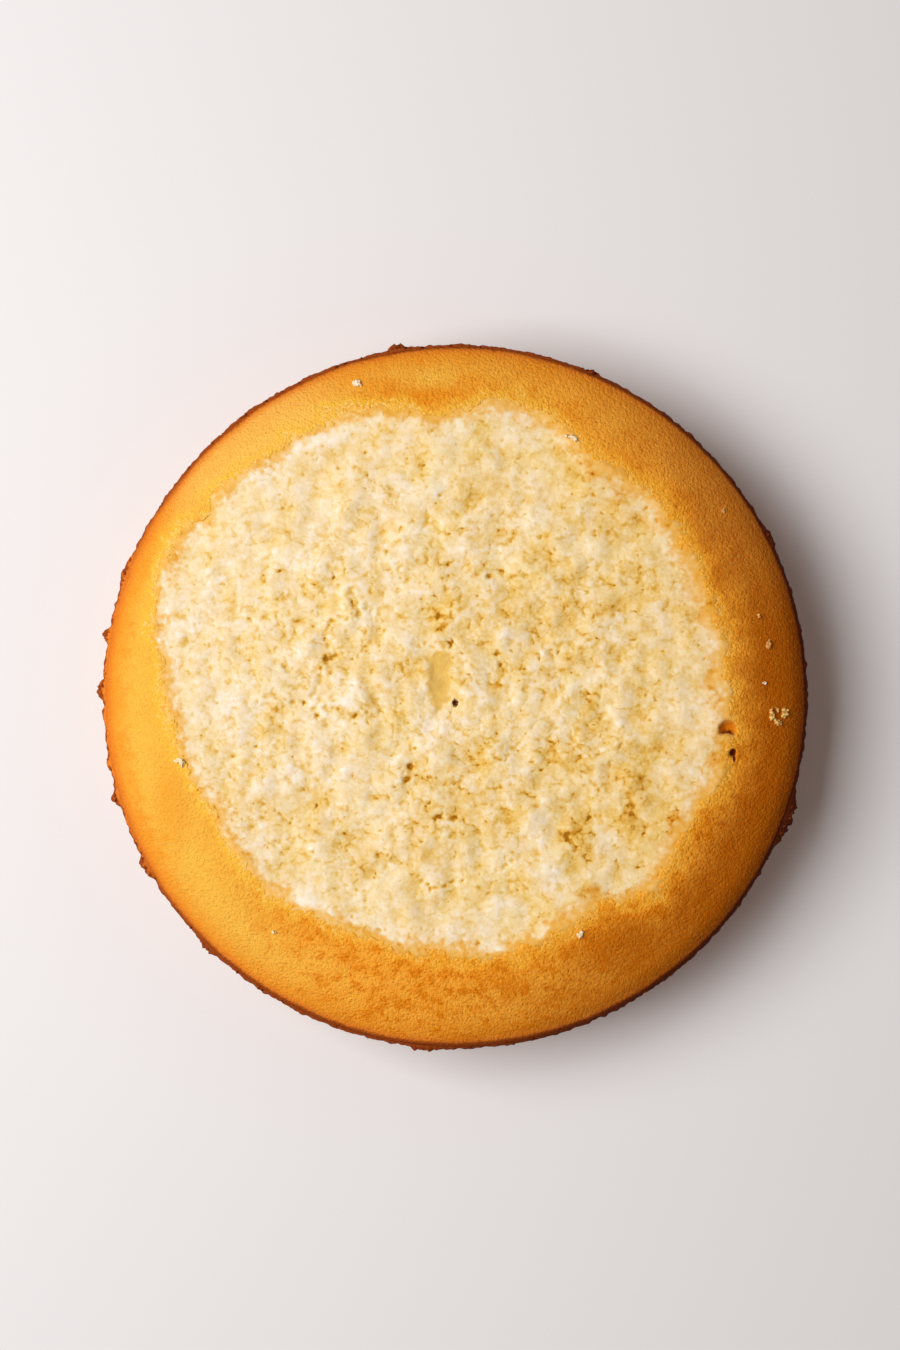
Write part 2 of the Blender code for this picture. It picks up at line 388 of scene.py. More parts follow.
def crumb_point(flat):
    """Height of the crumb without its finer torn relief, and the values of CRUMB_MARKS there."""
    edge = cut_radius(math.atan2(flat.y, flat.x))
    inner = 1 - min(flat.length / edge, 1.0) ** CUT_EDGE_FADE
    broad = CLUMP_RELIEF * wave(flat, CLUMP_SIZE) + CRAG_RELIEF * wave(flat, CRAG_SIZE, CRAG_SHIFT)
    gouge = gouge_share(flat)
    crevice = crevice_depth(flat)
    beyond = beyond_cut(flat)
    from_seam = smooth_step(0.0, -CALM_WIDTH, beyond)
    height = top_height(flat) + inner * (broad * from_seam - CUT_EDGE_DROP)
    height -= GOUGE_DEPTH * gouge + bubble_depth(flat) + tester_depth(flat) + crevice
    height -= SKIN_DIP * smooth_step(0.0, SKIN_DIP_WIDTH, beyond)
    rough = CALM_ROUGHNESS + (1 - CALM_ROUGHNESS) * from_seam
    rough *= 1 - GOUGE_SMOOTHNESS * gouge
    return height, beyond * 1000, torn_share(flat), rough, crevice * 1000, gouge


def set_attribute(mesh, name, values):
    mesh.attributes.new(name, "FLOAT", "POINT").data.foreach_set("value", np.asarray(values, np.float32))


def new_piece(name, mesh, material=None):
    """An object for a mesh in place, smooth all over."""
    if material:
        mesh.materials.append(material)
    mesh.shade_smooth()
    piece = bpy.data.objects.new(name, mesh)
    bpy.context.scene.collection.objects.link(piece)
    return piece


# Node helpers


def fill(tree, node, values):
    """Gives a node's inputs their numbers or links."""
    for name, value in values.items():
        if isinstance(value, bpy.types.NodeSocket):
            tree.links.new(value, node.inputs[name])
        else:
            node.inputs[name].default_value = value


def add(tree, kind, values=None, **options):
    """Adds a node. options are its settings, and values the numbers or links of its inputs."""
    made = tree.nodes.new(kind)
    for option, choice in options.items():
        setattr(made, option, choice)
    fill(tree, made, values or {})
    return made


def shade(red, green, blue):
    """A colour given as it shows on screen, 0 to 255, in the linear values that shaders take."""
    screen = [value / 255 for value in (red, green, blue)]
    linear = [v / 12.92 if v <= 0.04045 else ((v + 0.055) / 1.055) ** 2.4 for v in screen]
    return (*linear, 1.0)


def calculated(tree, operation, first, second):
    return add(tree, "ShaderNodeMath", {0: first, 1: second}, operation=operation).outputs[0]


def total(tree, first, *others):
    for other in others:
        first = calculated(tree, "ADD", first, other)
    return first


def product(tree, first, *others):
    for other in others:
        if isinstance(first, bpy.types.NodeSocket) or isinstance(other, bpy.types.NodeSocket):
            first = calculated(tree, "MULTIPLY", first, other)
        else:
            first *= other
    return first


def blend(tree, *parts):
    """The sum of parts, each with its share."""
    return total(tree, *(product(tree, part, share) for part, share in parts))


def without(tree, value, share=1.0):
    """What is left of 1 when a share of the value is taken off."""
    return total(tree, 1.0, product(tree, value, -share))


def split(tree, vector):
    """The three parts of a vector or a colour."""
    return add(tree, "ShaderNodeSeparateXYZ", {0: vector}).outputs


def vectors(tree, operation, first, second):
    return add(tree, "ShaderNodeVectorMath", {0: first, 1: second}, operation=operation).outputs[0]


def scaled(tree, vector, factor):
    return add(tree, "ShaderNodeVectorMath", {0: vector, "Scale": factor}, operation="SCALE").outputs[0]


def spread(tree, value, low, high, to_low=0.0, to_high=1.0):
    """The value's stretch from low to high, drawn smoothly over to_low to to_high."""
    values = {"Value": value, 1: low, 2: high, 3: to_low, 4: to_high}
    return add(tree, "ShaderNodeMapRange", values, interpolation_type="SMOOTHSTEP").outputs[0]


def mixed(tree, share, under, over, way="MIX"):
    values = {0: share, 6: under, 7: over}
    return add(tree, "ShaderNodeMix", values, data_type="RGBA", blend_type=way).outputs[2]


def ramp(tree, value, stops):
    """Colours at places along a value from 0 to 1."""
    made = add(tree, "ShaderNodeValToRGB", {0: value})
    elements = made.color_ramp.elements
    for _ in stops[2:]:
        elements.new(0.5)
    for element, (place, colour) in zip(elements, stops):
        element.position = place
        element.color = colour
    return made.outputs[0]


def per(tree, size):
    """The scale that gives a texture features of a size, which may be a number or a link."""
    return calculated(tree, "DIVIDE", 1.0, size) if isinstance(size, bpy.types.NodeSocket) else 1 / size


def grain(tree, place, size, detail=2.0, rough=0.5):
    """Soft noise about 0, nearly all of it between -1 and 1, its features a given size across."""
    values = {"Vector": place, "Scale": per(tree, size), "Detail": detail, "Roughness": rough}
    noise_value = add(tree, "ShaderNodeTexNoise", values).outputs["Fac"]
    return product(tree, total(tree, noise_value, -0.5), 4.0)


def pushes(tree, place, size):
    """A soft push for each place, about 0 in all directions."""
    values = {"Vector": place, "Scale": per(tree, size), "Detail": 1.0}
    colour = add(tree, "ShaderNodeTexNoise", values).outputs["Color"]
    return vectors(tree, "ADD", colour, (-0.5, -0.5, -0.5))


def cells(tree, place, size):
    """Scattered cells: the distance from the middle of each, and a colour of its own."""
    return add(tree, "ShaderNodeTexVoronoi", {"Vector": place, "Scale": per(tree, size)}).outputs


LEVEL = (1.0, 1.0, 0.0)


def warped(tree, place, size, reach):
    """The place laid flat and pushed about sideways, so that patterns on it look uneven."""
    flat = vectors(tree, "MULTIPLY", place, LEVEL)
    level = vectors(tree, "MULTIPLY", pushes(tree, flat, size), LEVEL)
    return vectors(tree, "ADD", flat, scaled(tree, level, reach))


# A cell's chance up to which it has no spot and at which it has the widest, and the share of the
# width that each comes to
SPOT_CHANCES = (0.4, 1.0, 0.001, 1.0)


def spots(tree, place, spacing, width):
    """Scattered round spots up to a width across: 1 in the middle of each, 0 outside them."""
    spot = cells(tree, place, spacing)
    luck = split(tree, spot["Color"])[0]
    widest = calculated(tree, "DIVIDE", width, product(tree, spacing, 2.0))
    reach = product(tree, spread(tree, luck, *SPOT_CHANCES), widest)
    away = calculated(tree, "DIVIDE", spot["Distance"], reach)
    return calculated(tree, "MAXIMUM", without(tree, product(tree, away, away)), 0.0)


def attribute(tree, name):
    return add(tree, "ShaderNodeAttribute", attribute_name=name).outputs["Fac"]


def stored(tree, name):
    values = {"Name": name}
    return add(tree, "GeometryNodeInputNamedAttribute", values, data_type="FLOAT").outputs["Attribute"]


def new_material(name, roughness, specular):
    material = bpy.data.materials.new(name)
    material.use_nodes = True
    tree = material.node_tree
    shader = tree.nodes["Principled BSDF"]
    fill(tree, shader, {"Roughness": roughness, "Specular IOR Level": specular})
    place = add(tree, "ShaderNodeTexCoord").outputs["Object"]
    return material, tree, shader, place


def soft_inside(tree, shader, weight, radius, scale):
    """Lets light sink in. radius is how far each colour gets, as a share of scale."""
    values = {"Subsurface Weight": weight, "Subsurface Radius": radius, "Subsurface Scale": scale}
    fill(tree, shader, values)


def finish(tree, shader, colour, height, depth):
    """Gives a material its colour, and a relief that is too fine for the mesh."""
    bump = add(tree, "ShaderNodeBump", {"Height": height, "Distance": depth, "Strength": 1.0})
    fill(tree, shader, {"Base Color": colour, "Normal": bump.outputs["Normal"]})


def from_spot(tree, place, spot, half_size):
    """How far a point lies from the middle of an oval spot, 1 at the spot's edge."""
    away = vectors(tree, "SUBTRACT", place, (spot[0] + AXIS.x, spot[1] + AXIS.y, 0.0))
    oval = vectors(tree, "MULTIPLY", away, (1 / half_size[0], 1 / half_size[1], 0.0))
    return add(tree, "ShaderNodeVectorMath", {0: oval}, operation="LENGTH").outputs["Value"]


# The crumb's colours

TOASTED = shade(214, 142, 74)
# the deepest tone: painted shade down in the pores
SHADED_PORE_OCHRE = shade(168, 108, 22)
OCHRE = shade(212, 150, 46)
BUTTER = shade(232, 190, 106)
CREAM = shade(241, 212, 163)
PALE_CREAM = shade(248, 228, 206)
MILK = shade(253, 237, 224)
YELLOWING = (0.99, 0.97, 0.81, 1.0)
BORDER_TINT = (0.96, 0.68, 0.28, 1.0)
# painted shade down in the tester's hole
HOLE_SHADE_BROWN = shade(100, 44, 12)
BUBBLE_ORANGE = shade(208, 114, 10)
# painted shadow under the lump's overhang, on an edge that is also burnt, and in the gap
BUBBLE_SHADOW_BROWN = shade(100, 34, 2)
CRUMB_STOPS = (
    (0.0, SHADED_PORE_OCHRE), (0.14, OCHRE), (0.32, BUTTER), (0.54, CREAM), (0.78, PALE_CREAM), (1.0, MILK),
)
CRUMB_GRAIN_STOPS = ((0.1, TOASTED), (0.4, BUTTER), (0.7, CREAM), (1.0, PALE_CREAM))

# The crumb's patterns: their sizes, and the two ends between which each starts and is full
TUFT_GROUP_SPACINGS = 3.0
TUFT_GROUPS = (-0.2, 0.4)
VALLEY_BREAKS = (0.35, -0.35)
VALLEY_SLOPE = (0.20, 0.0)
PORE_SLOPE = (-0.60, -1.00)
PORES_IN_LUMPS = 0.3
GRANULE_SIZE = 0.0014
GRANULE_WARP = (0.0015, 0.0007)
GRANULE_MIDDLE = 0.45
MOTTLE_SIZE = 0.0009
PINPOINT_SPACING = 0.0019
PINPOINT_WIDTH = 0.0010
CRUMB_PATCH_SIZE = 0.0060
BROAD_PATCH_SIZE = 0.0180

# The crumb's tone, from 0 to 1: its middle, that of the gouge, and what takes it up or down: a
# painted light, paler on the left and deeper on the right, painted light and shade on high and low
# places, which fade near the edge, and the change from clean to torn crumb
MIDDLE_TONE = 0.53
GOUGE_TONE = 0.30
PAINTED_LIGHT_LEFT_TO_RIGHT = (-0.075, 0.075, 0.05, -0.035)
STANDS_FROM_EDGE = (-1.5, -5.0)
CLEAN_TO_TORN = (0.0, 1.0, 0.72, 0.90)
IN_GOUGE = (0.2, 0.6)

# Where the crumb turns yellow: patch sizes, their shares, and how much of it there is across
YELLOW_WARP = (0.0030, 0.0020)
YELLOW_PATCHES = ((0.0036, 0.9), (0.0150, 1.0))
YELLOW_RANGE = (-0.7, 0.9, 0.0)
YELLOW_LEFT = (-0.09, 0.03, 0.40, 1.0)
YELLOW_RIGHT = (0.02, 0.07, 1.0, 0.3)

# Where the crumb turns gold along its edge, in mm beyond the cut: how far in it starts from left
# to right, where it is full, how far it wanders, and how much further in the low crumb has it
GOLD_STARTS = (-0.06, 0.06, -4.2, -6.5)
GOLD_FULL = -0.6
GOLD_WANDER_SIZE = 0.0040
GOLD_WANDER = 1.2
GOLD_IN_LOW_CRUMB = 5.0
GOLD_UNEVEN = (-0.3, -1.6)

# Where light starts to sink into the crumb, in mm beyond the cut, and how far it gets
GLOW = (-1.0, -4.0, 0.0, 0.5)
GLOW_DEPTH = 0.0016

# The browned bubbles, and the painted shade in the gap and the tester's hole: where each colour
# ends, in half sizes from the middle, and how far those ends wander. The lump's far side has
# painted shadow, in metres from the bubble
BUBBLE_SHARES = (0.95, 0.9)
BUBBLE_WANDER = 0.16
BUBBLE_EDGE = (1.2, 0.6)
LUMP_EDGE = (0.90, 1.08)
LUMP_SHADE = (1.6, 1.2)
SHADED_CORNER = (-0.003, 0.001, 0.5, 1.0)
GAP_EDGE = (1.1, 0.75)
HOLE_EDGE = (1.1, 0.7)
HOLE_WANDER_SIZE = 0.0007
HOLE_WANDER = 0.5

# Size and depth of the relief that is too fine for the mesh
CRUMB_FINE = (0.0008, 0.00003)
LOOSE_GRAIN_FINE = (0.0004, 0.00004)
RIM_GRAIN_FINE = (0.0005, 0.00005)
TOP_CRUST_FINE = (0.0006, 0.00012)
SIDE_CRUST_FINE = (0.0005, 0.00008)


def torn_pattern(tree, place, sizes):
    """The lumps of torn crumb, the tufts that stand on them, the broken valleys that wind between
    them and the pores in them. Lumps go from -1 to 1 and the others from 0 to 1. Both the relief
    and the colour follow it, the colour with painted shade in the valleys and pores."""
    even = warped(tree, place, sizes["Warp size"], sizes["Warp"])
    lumps = grain(tree, even, sizes["Lump size"], 3.0, 0.6)
    group_size = product(tree, sizes["Tuft spacing"], TUFT_GROUP_SPACINGS)
    gathered = spread(tree, grain(tree, place, group_size), *TUFT_GROUPS)
    tufts = product(tree, spots(tree, even, sizes["Tuft spacing"], sizes["Tuft width"]), gathered)
    course = calculated(tree, "ABSOLUTE", grain(tree, even, sizes["Valley spacing"], 2.0), 0.0)
    broken = spread(tree, lumps, *VALLEY_BREAKS)
    valleys = product(tree, spread(tree, course, *VALLEY_SLOPE), broken)
    pore_noise = grain(tree, even, sizes["Pore size"], 2.0, 0.4)
    pores = spread(tree, total(tree, pore_noise, product(tree, lumps, PORES_IN_LUMPS)), *PORE_SLOPE)
    return lumps, tufts, valleys, pores


def granules(tree, place):
    """The crumb's single grains about 0: each pale or dark by chance, and lower where they part, which
    the colour shows as painted shade.
    """
    grains = cells(tree, warped(tree, place, *GRANULE_WARP), GRANULE_SIZE)
    chance = total(tree, split(tree, grains["Color"])[0], -0.5)
    middle = total(tree, product(tree, grains["Distance"], -1.0), GRANULE_MIDDLE)
    return blend(tree, (chance, 1.2), (middle, 1.5))


def crumb_tone(tree, place):
    """The crumb's tone from 0, down in its pores, to 1, on what stands out, with painted shade in its
    pores, valleys, crevices, pinpoints and low places, and painted light on its high places.
    """
    lumps, tufts, valleys, pores = torn_pattern(tree, place, TORN_SIZES)
    mottle = grain(tree, place, MOTTLE_SIZE, 3.0, 0.7)
    from_edge = spread(tree, attribute(tree, "beyond"), *STANDS_FROM_EDGE)
    torn_tone = blend(
        tree,
        (lumps, 0.10),
        (tufts, 0.22),
        (mottle, 0.08),
        (granules(tree, place), 0.12),
        # painted shade in the valleys, pores and pinpoint pits
        (valleys, -0.16),
        (pores, -0.22),
        (spots(tree, place, PINPOINT_SPACING, PINPOINT_WIDTH), -0.20),
    )
    tone = blend(
        tree,
        (MIDDLE_TONE, 1.0),
        # painted light on high places and painted shade in low ones, fading near the edge
        (product(tree, attribute(tree, "height"), from_edge), 0.10),
        (attribute(tree, "clump"), 1.0),
        # painted shade in the crevices
        (attribute(tree, "crevice"), -0.45),
        (grain(tree, place, CRUMB_PATCH_SIZE, 3.0, 0.6), 0.18),
        (grain(tree, place, BROAD_PATCH_SIZE), 0.10),
        # painted light: paler on the left, deeper on the right
        (spread(tree, split(tree, place)[0], *PAINTED_LIGHT_LEFT_TO_RIGHT), 1.0),
        (torn_tone, spread(tree, attribute(tree, "torn"), *CLEAN_TO_TORN)),
    )
    smooth = blend(tree, (GOUGE_TONE, 1.0), (mottle, 0.04), (lumps, 0.03))
    in_gouge = blend(tree, (attribute(tree, "gouge"), 1.0), (mottle, 0.25), (lumps, 0.2))
    return spread(tree, in_gouge, *IN_GOUGE, tone, smooth)


def yellowed(tree, place, colour):
    """The same colour, more yellow in soft patches, where the crumb holds more butter."""
    (fine_size, fine_share), (broad_size, broad_share) = YELLOW_PATCHES
    fine = grain(tree, warped(tree, place, *YELLOW_WARP), fine_size, 3.0, 0.6)
    patches = blend(tree, (fine, fine_share), (grain(tree, place, broad_size), broad_share))
    right = split(tree, place)[0]
    most = product(tree, spread(tree, right, *YELLOW_LEFT), spread(tree, right, *YELLOW_RIGHT))
    return mixed(tree, spread(tree, patches, *YELLOW_RANGE, most), colour, YELLOWING, "MULTIPLY")


def with_bubbles(tree, place, colour):
    """The same colour, brown where the bubbles burst, with painted shadow darkest against the lump and in
    the gap.
    """
    uneven = product(tree, grain(tree, place, MOTTLE_SIZE), BUBBLE_WANDER)
    degrees, radius, size, _ = BUBBLES[0]
    middle = around(radius, math.radians(degrees), 0.0)
    from_middle, from_lump, from_gap, from_tail = (
        total(tree, from_spot(tree, place, spot, half_size), uneven)
        for spot, half_size in (
            (middle, [size * share for share in BUBBLE_SHARES]),
            (LUMP_MIDDLE, (LUMP_RADIUS, LUMP_RADIUS)),
            (GAP_MIDDLE, GAP_HALF_SIZE),
            (GAP_TAIL, GAP_TAIL_HALF_SIZE),
        )
    )
    in_bubble = product(tree, spread(tree, from_middle, *BUBBLE_EDGE), spread(tree, from_lump, *LUMP_EDGE))
    from_left = total(tree, split(tree, place)[0], -middle.x - AXIS.x)
    corner = spread(tree, from_left, *SHADED_CORNER)
    # painted shadow, darkest against the lump's far side
    shaded = product(tree, spread(tree, from_lump, *LUMP_SHADE), corner)
    colour = mixed(tree, in_bubble, colour, mixed(tree, shaded, BUBBLE_ORANGE, BUBBLE_SHADOW_BROWN))
    # painted shadow in the gap
    in_gap = spread(tree, calculated(tree, "MINIMUM", from_gap, from_tail), *GAP_EDGE)
    return mixed(tree, in_gap, colour, BUBBLE_SHADOW_BROWN)


def crumb_material():
    """The cut face's crumb, which light sinks into, and which turns gold where it meets the crust."""
    material, tree, shader, place = new_material("cream_crumb", 0.9, 0.05)
    tone = crumb_tone(tree, place)
    beyond = attribute(tree, "beyond")
    uneven = blend(
        tree,
        (grain(tree, place, GOLD_WANDER_SIZE, 3.0, 0.6), GOLD_WANDER),
        (tone, -GOLD_IN_LOW_CRUMB),
        (MIDDLE_TONE, GOLD_IN_LOW_CRUMB),
    )
    uneven = product(tree, uneven, spread(tree, beyond, *GOLD_UNEVEN))
    starts = spread(tree, split(tree, place)[0], *GOLD_STARTS)
    golden = spread(tree, total(tree, beyond, uneven), starts, GOLD_FULL)
    colour = yellowed(tree, place, ramp(tree, tone, CRUMB_STOPS))
    colour = mixed(tree, golden, colour, BORDER_TINT, "MULTIPLY")
    # painted shade in the tester's hole
    from_hole = from_spot(tree, place, TESTER_HOLE, TESTER_HALF_SIZE)
    from_hole = total(tree, from_hole, product(tree, grain(tree, place, HOLE_WANDER_SIZE), HOLE_WANDER))
    colour = mixed(tree, spread(tree, from_hole, *HOLE_EDGE), colour, HOLE_SHADE_BROWN)
    soft_inside(tree, shader, spread(tree, beyond, *GLOW), (1.0, 0.9, 0.8), GLOW_DEPTH)
    size, depth = CRUMB_FINE
    fine = blend(tree, (grain(tree, place, size, 3.0, 0.65), 1.0), (granules(tree, place), 0.7))
    finish(tree, shader, with_bubbles(tree, place, colour), fine, depth)
    return material


def grain_material(name, roughness, stops, uneven, fine):
    """Single grains, toned by chance, and too small for light to sink into them."""
    material, tree, shader, place = new_material(name, roughness, 0.05)
    tone = blend(tree, (attribute(tree, "tone"), 1.0), (grain(tree, place, MOTTLE_SIZE), uneven))
    finish(tree, shader, ramp(tree, tone, stops), grain(tree, place, fine[0]), fine[1])
    return material


# The crust's colours

PALE_BORDER = shade(250, 200, 108)
BORDER_GOLD = shade(253, 187, 82)
BORDER_AMBER = shade(236, 152, 48)
EDGE_GOLD = shade(247, 185, 60)
EDGE_AMBER = shade(255, 174, 50)
PALE_GOLD = shade(251, 194, 98)
GOLD = shade(243, 182, 70)
WARM_GOLD = shade(252, 169, 56)
DEEP_GOLD = shade(238, 148, 42)
AMBER = shade(236, 138, 24)
BURNT_GOLD = shade(222, 120, 16)
BURNT = shade(192, 98, 10)
BROWN = shade(184, 93, 6)
# a paler, less browned tan, partly a painted sheen
TAN = shade(194, 112, 36)
SCORCHED = shade(114, 48, 4)
RIM_ORANGE = shade(226, 122, 36)
RIM_BROWN = shade(150, 66, 18)
DARK_RIM = shade(84, 30, 6)
TIN_GOLD = shade(204, 128, 52)
TIN_BROWN = shade(170, 94, 34)
RIM_CRUMB_STOPS = ((0.15, DARK_RIM), (0.50, RIM_BROWN), (0.95, RIM_ORANGE))

# The crust's patterns. Specks have their two ends, and shares for fine and coarse ones
CRUST_PATCH_SIZE = 0.010
BLOTCH_SIZE = 0.0036
DARK_SPECKS = ((0.0, 0.8), 0.36, 0.34)
PALE_SPECKS = ((0.0, -0.8), 0.24, 0.12)

# Parts of the crust, in metres to the right of the middle or up from it. Each has its two ends,
# and at times what it comes to there
HOT_SIDE = (0.0, 0.100)
HOT_SIDE_LEAN = -0.16
HOT_SIDE_WANDER_SIZE = 0.020
HOT_SIDE_WANDER = 0.010
UPPER_PART = (0.014, 0.066)
SPARED_ABOVE = 0.7
LOWER_PART = (0.01, -0.07)
LOWER_PART_LEFT = (-0.065, -0.015)
WARM_PART = (-0.02, 0.06)
EVEN_LEFT = (-0.085, -0.03, 0.3, 1.0)
NARROW_RIM_BELOW = (-0.05, -0.095, 0.0, -0.7)
DARK_RIM_PART = (-0.098, -0.060, 0.15, 1.0)

# Bands of the crust in mm out from the cut, and then in mm in from the rim
BROWNED = (1.5, 12.5)
AMBER_STARTS = (1.0, 4.5)
AMBER_ENDS = (11.0, 6.0)
GOLD_EDGE = (5.5, 0.5, 0.0, 0.9)
SPECKLED = (0.0, 5.0, 0.5, 1.0)
BORDER = (1.9, 0.0, 0.0, 0.9)
DEEP_GOLD_BAND = (10.0, 2.0)
SCORCHED_BAND = (7.0, 0.5, 0.0, 0.8)
ORANGE_BAND = (3.4, 0.8, 0.0, 0.9)
BROWN_BAND = (1.5, 0.3)
DARK_BAND = (1.2, 0.2)

# The palest part of the crust: its middle and half size, how pale it is, and what is left of the
# crust's patches there
PALE_CRUST = (-0.058, 0.070)
PALE_CRUST_HALF_SIZE = (0.042, 0.032)
PALENESS = (1.0, 0.4, 0.0, 0.45)
PATCHES_IN_PALE = (0.4, 1.0, 0.2, 1.0)

# Deeper patches of the crust's amber: middle and half size in metres, and how deep they are
CRUST_PATCHES = (
    ((-0.0110, 0.0824), (0.0190, 0.0036), 0.8),
    ((-0.0680, 0.0535), (0.0032, 0.0032), 0.4),
    ((0.0150, -0.0800), (0.0026, 0.0040), 0.9),
    ((0.0443, -0.0680), (0.0150, 0.0065), 0.7),
    ((0.0713, 0.0370), (0.0050, 0.0120), 0.4),
    ((-0.0787, -0.0310), (0.0060, 0.0130), 0.4),
)
PATCH_SLOPE = (1.4, 0.3)


def crust_parts(tree, place):
    """Where a point of the crust lies, and the patterns there, as the colours take them."""
    right, up, _ = split(tree, place)
    patches = grain(tree, place, CRUST_PATCH_SIZE, 4.0, 0.6)
    blotches = grain(tree, place, BLOTCH_SIZE, 3.0, 0.6)
    wander = grain(tree, place, HOT_SIDE_WANDER_SIZE)
    across = blend(tree, (right, 1.0), (up, HOT_SIDE_LEAN), (wander, HOT_SIDE_WANDER))
    hot = spread(tree, across, *HOT_SIDE)
    lower = product(tree, spread(tree, up, *LOWER_PART), spread(tree, right, *LOWER_PART_LEFT))
    from_pale = from_spot(tree, place, PALE_CRUST, PALE_CRUST_HALF_SIZE)
    few_in_pale = spread(tree, from_pale, *PATCHES_IN_PALE)
    return SimpleNamespace(
        right=right,
        up=up,
        inner=blend(tree, (attribute(tree, "beyond"), 1.0), (patches, 0.9), (blotches, 0.6)),
        rim=attribute(tree, "rim"),
        patches=patches,
        blotches=blotches,
        mottle=grain(tree, place, MOTTLE_SIZE, 2.0, 0.6),
        hot=hot,
        cool=without(tree, hot),
        upper=spread(tree, up, *UPPER_PART),
        lower=lower,
        warm=calculated(tree, "MAXIMUM", lower, spread(tree, right, *WARM_PART)),
        from_pale=from_pale,
        patchy=product(tree, spread(tree, right, *EVEN_LEFT), few_in_pale),
    )


def gold_and_amber(tree, place, at):
    """The gold of the crust, deeper towards the rim, with its amber patches."""
    gold = mixed(tree, at.warm, GOLD, WARM_GOLD)
    from_rim = blend(tree, (at.rim, 1.0), (at.blotches, 2.5), (at.mottle, 1.5))
    colour = mixed(tree, spread(tree, from_rim, *DEEP_GOLD_BAND), gold, DEEP_GOLD)
    colour = mixed(tree, spread(tree, at.from_pale, *PALENESS), colour, PALE_GOLD)
    patches = product(tree, spread(tree, at.patches, -0.4, 0.8, 0.0, 0.50), at.patchy)
    band = product(tree, spread(tree, at.inner, *AMBER_STARTS), spread(tree, at.inner, *AMBER_ENDS))
    amber = blend(
        tree,
        (blend(tree, (patches, 1.0), (band, 0.25)), at.patchy),
        (spread(tree, at.blotches, -0.4, 0.8), at.lower),
    )
    colour = mixed(tree, amber, colour, AMBER)
    for middle, half_size, deep in CRUST_PATCHES:
        from_patch = from_spot(tree, place, middle, half_size)
        from_patch = blend(tree, (from_patch, 1.0), (at.patches, 0.3), (at.blotches, 0.3))
        deeper = product(tree, spread(tree, from_patch, *PATCH_SLOPE), deep)
        colour = mixed(tree, deeper, colour, mixed(tree, at.hot, AMBER, BURNT))
    return colour


def with_specks(tree, at, colour, pale):
    """The same colour with burnt specks, and with pale ones in a given colour."""

    def specks(ends, fine_share, coarse_share):
        fine, coarse = (spread(tree, pattern, *ends) for pattern in (at.mottle, at.blotches))
        return blend(tree, (fine, fine_share), (coarse, coarse_share))

    speckled = product(tree, spread(tree, at.inner, *SPECKLED), at.patchy)
    most_baked = calculated(tree, "MAXIMUM", at.hot, product(tree, at.lower, 0.7))
    burnt = mixed(tree, most_baked, BURNT_GOLD, BURNT)
    colour = mixed(tree, product(tree, specks(*DARK_SPECKS), speckled), colour, burnt)
    fewer = total(tree, product(tree, at.cool, 0.6), 0.4)
    return mixed(tree, product(tree, specks(*PALE_SPECKS), speckled, fewer), colour, pale)


def with_border(tree, at, colour):
    """The same colour, and the dotted border that the knife left along the cut."""
    pale_border = mixed(tree, at.warm, PALE_BORDER, BORDER_GOLD)
    border = mixed(tree, spread(tree, at.mottle, 0.6, -0.6), BORDER_AMBER, pale_border)
    dotted = blend(tree, (at.inner, 1.0), (at.mottle, 1.8), (at.blotches, 0.6))
    return mixed(tree, spread(tree, dotted, *BORDER), colour, border)


def with_rim(tree, at, colour, spared):
    """The same colour, orange and then brown at the rim, and darkest on the hot side."""
    below = spread(tree, at.up, *NARROW_RIM_BELOW)
    near_rim = total(tree, blend(tree, (at.rim, 1.0), (at.patches, -0.3), (at.mottle, 0.25)), below)
    orange = product(tree, spread(tree, near_rim, *ORANGE_BAND), at.cool)
    colour = mixed(tree, orange, colour, RIM_ORANGE)
    brown = product(tree, spread(tree, near_rim, *BROWN_BAND), spread(tree, at.right, *DARK_RIM_PART))
    colour = mixed(tree, brown, colour, RIM_BROWN)
    return mixed(tree, product(tree, spread(tree, near_rim, *DARK_BAND), at.hot, spared), colour, DARK_RIM)


def top_crust_material():
    """Golden crust: deeper amber in patches, brown on the side that caught the oven's heat, paler tan
    with a painted sheen in its upper part.
    """
    material, tree, shader, place = new_material("golden_crust", 0.6, 0.02)
    at = crust_parts(tree, place)
    colour = gold_and_amber(tree, place, at)
    browned = product(tree, at.hot, spread(tree, at.inner, *BROWNED))
    # the upper part of the hot side takes the paler tan, partly a painted sheen
    colour = mixed(tree, browned, colour, mixed(tree, at.upper, BROWN, TAN))
    spared = without(tree, at.upper, SPARED_ABOVE)
    scorched = product(tree, at.hot, spread(tree, at.rim, *SCORCHED_BAND), spared)
    colour = mixed(tree, scorched, colour, SCORCHED)
    edge_gold = mixed(tree, at.warm, EDGE_GOLD, EDGE_AMBER)
    colour = mixed(tree, spread(tree, at.inner, *GOLD_EDGE), colour, edge_gold)
    colour = with_specks(tree, at, colour, edge_gold)
    colour = with_border(tree, at, colour)
    colour = with_bubbles(tree, place, with_rim(tree, at, colour, spared))
    soft_inside(tree, shader, 0.2, (1.0, 0.5, 0.2), 0.0010)
    size, depth = TOP_CRUST_FINE
    finish(tree, shader, colour, total(tree, grain(tree, place, size, 2.0, 0.6), at.mottle), depth)
    return material


# The side crust's colours by height: where the lip starts, where it turns down from the top, and
# where the base starts. Then how far to the right and up the lip is dark or pale, and the sizes
# of the patterns below it
LIP_STARTS = (0.0290, 0.0335)
LIP_TURNS_DOWN = (0.03535, 0.0349)
BASE_STARTS = (0.004, 0.0)
PALE_LIP_PART = (-0.097, -0.074)
DARK_LIP_PART = (-0.01, 0.08)
DARK_LIP_LEAN = -0.22
TIN_PATCH_SIZE = 0.012
TIN_MOTTLE_SIZE = 0.0011
TIN_PIT_SPACING = 0.0040
TIN_PITS = (0.10, 0.26, 1.0, 0.0)


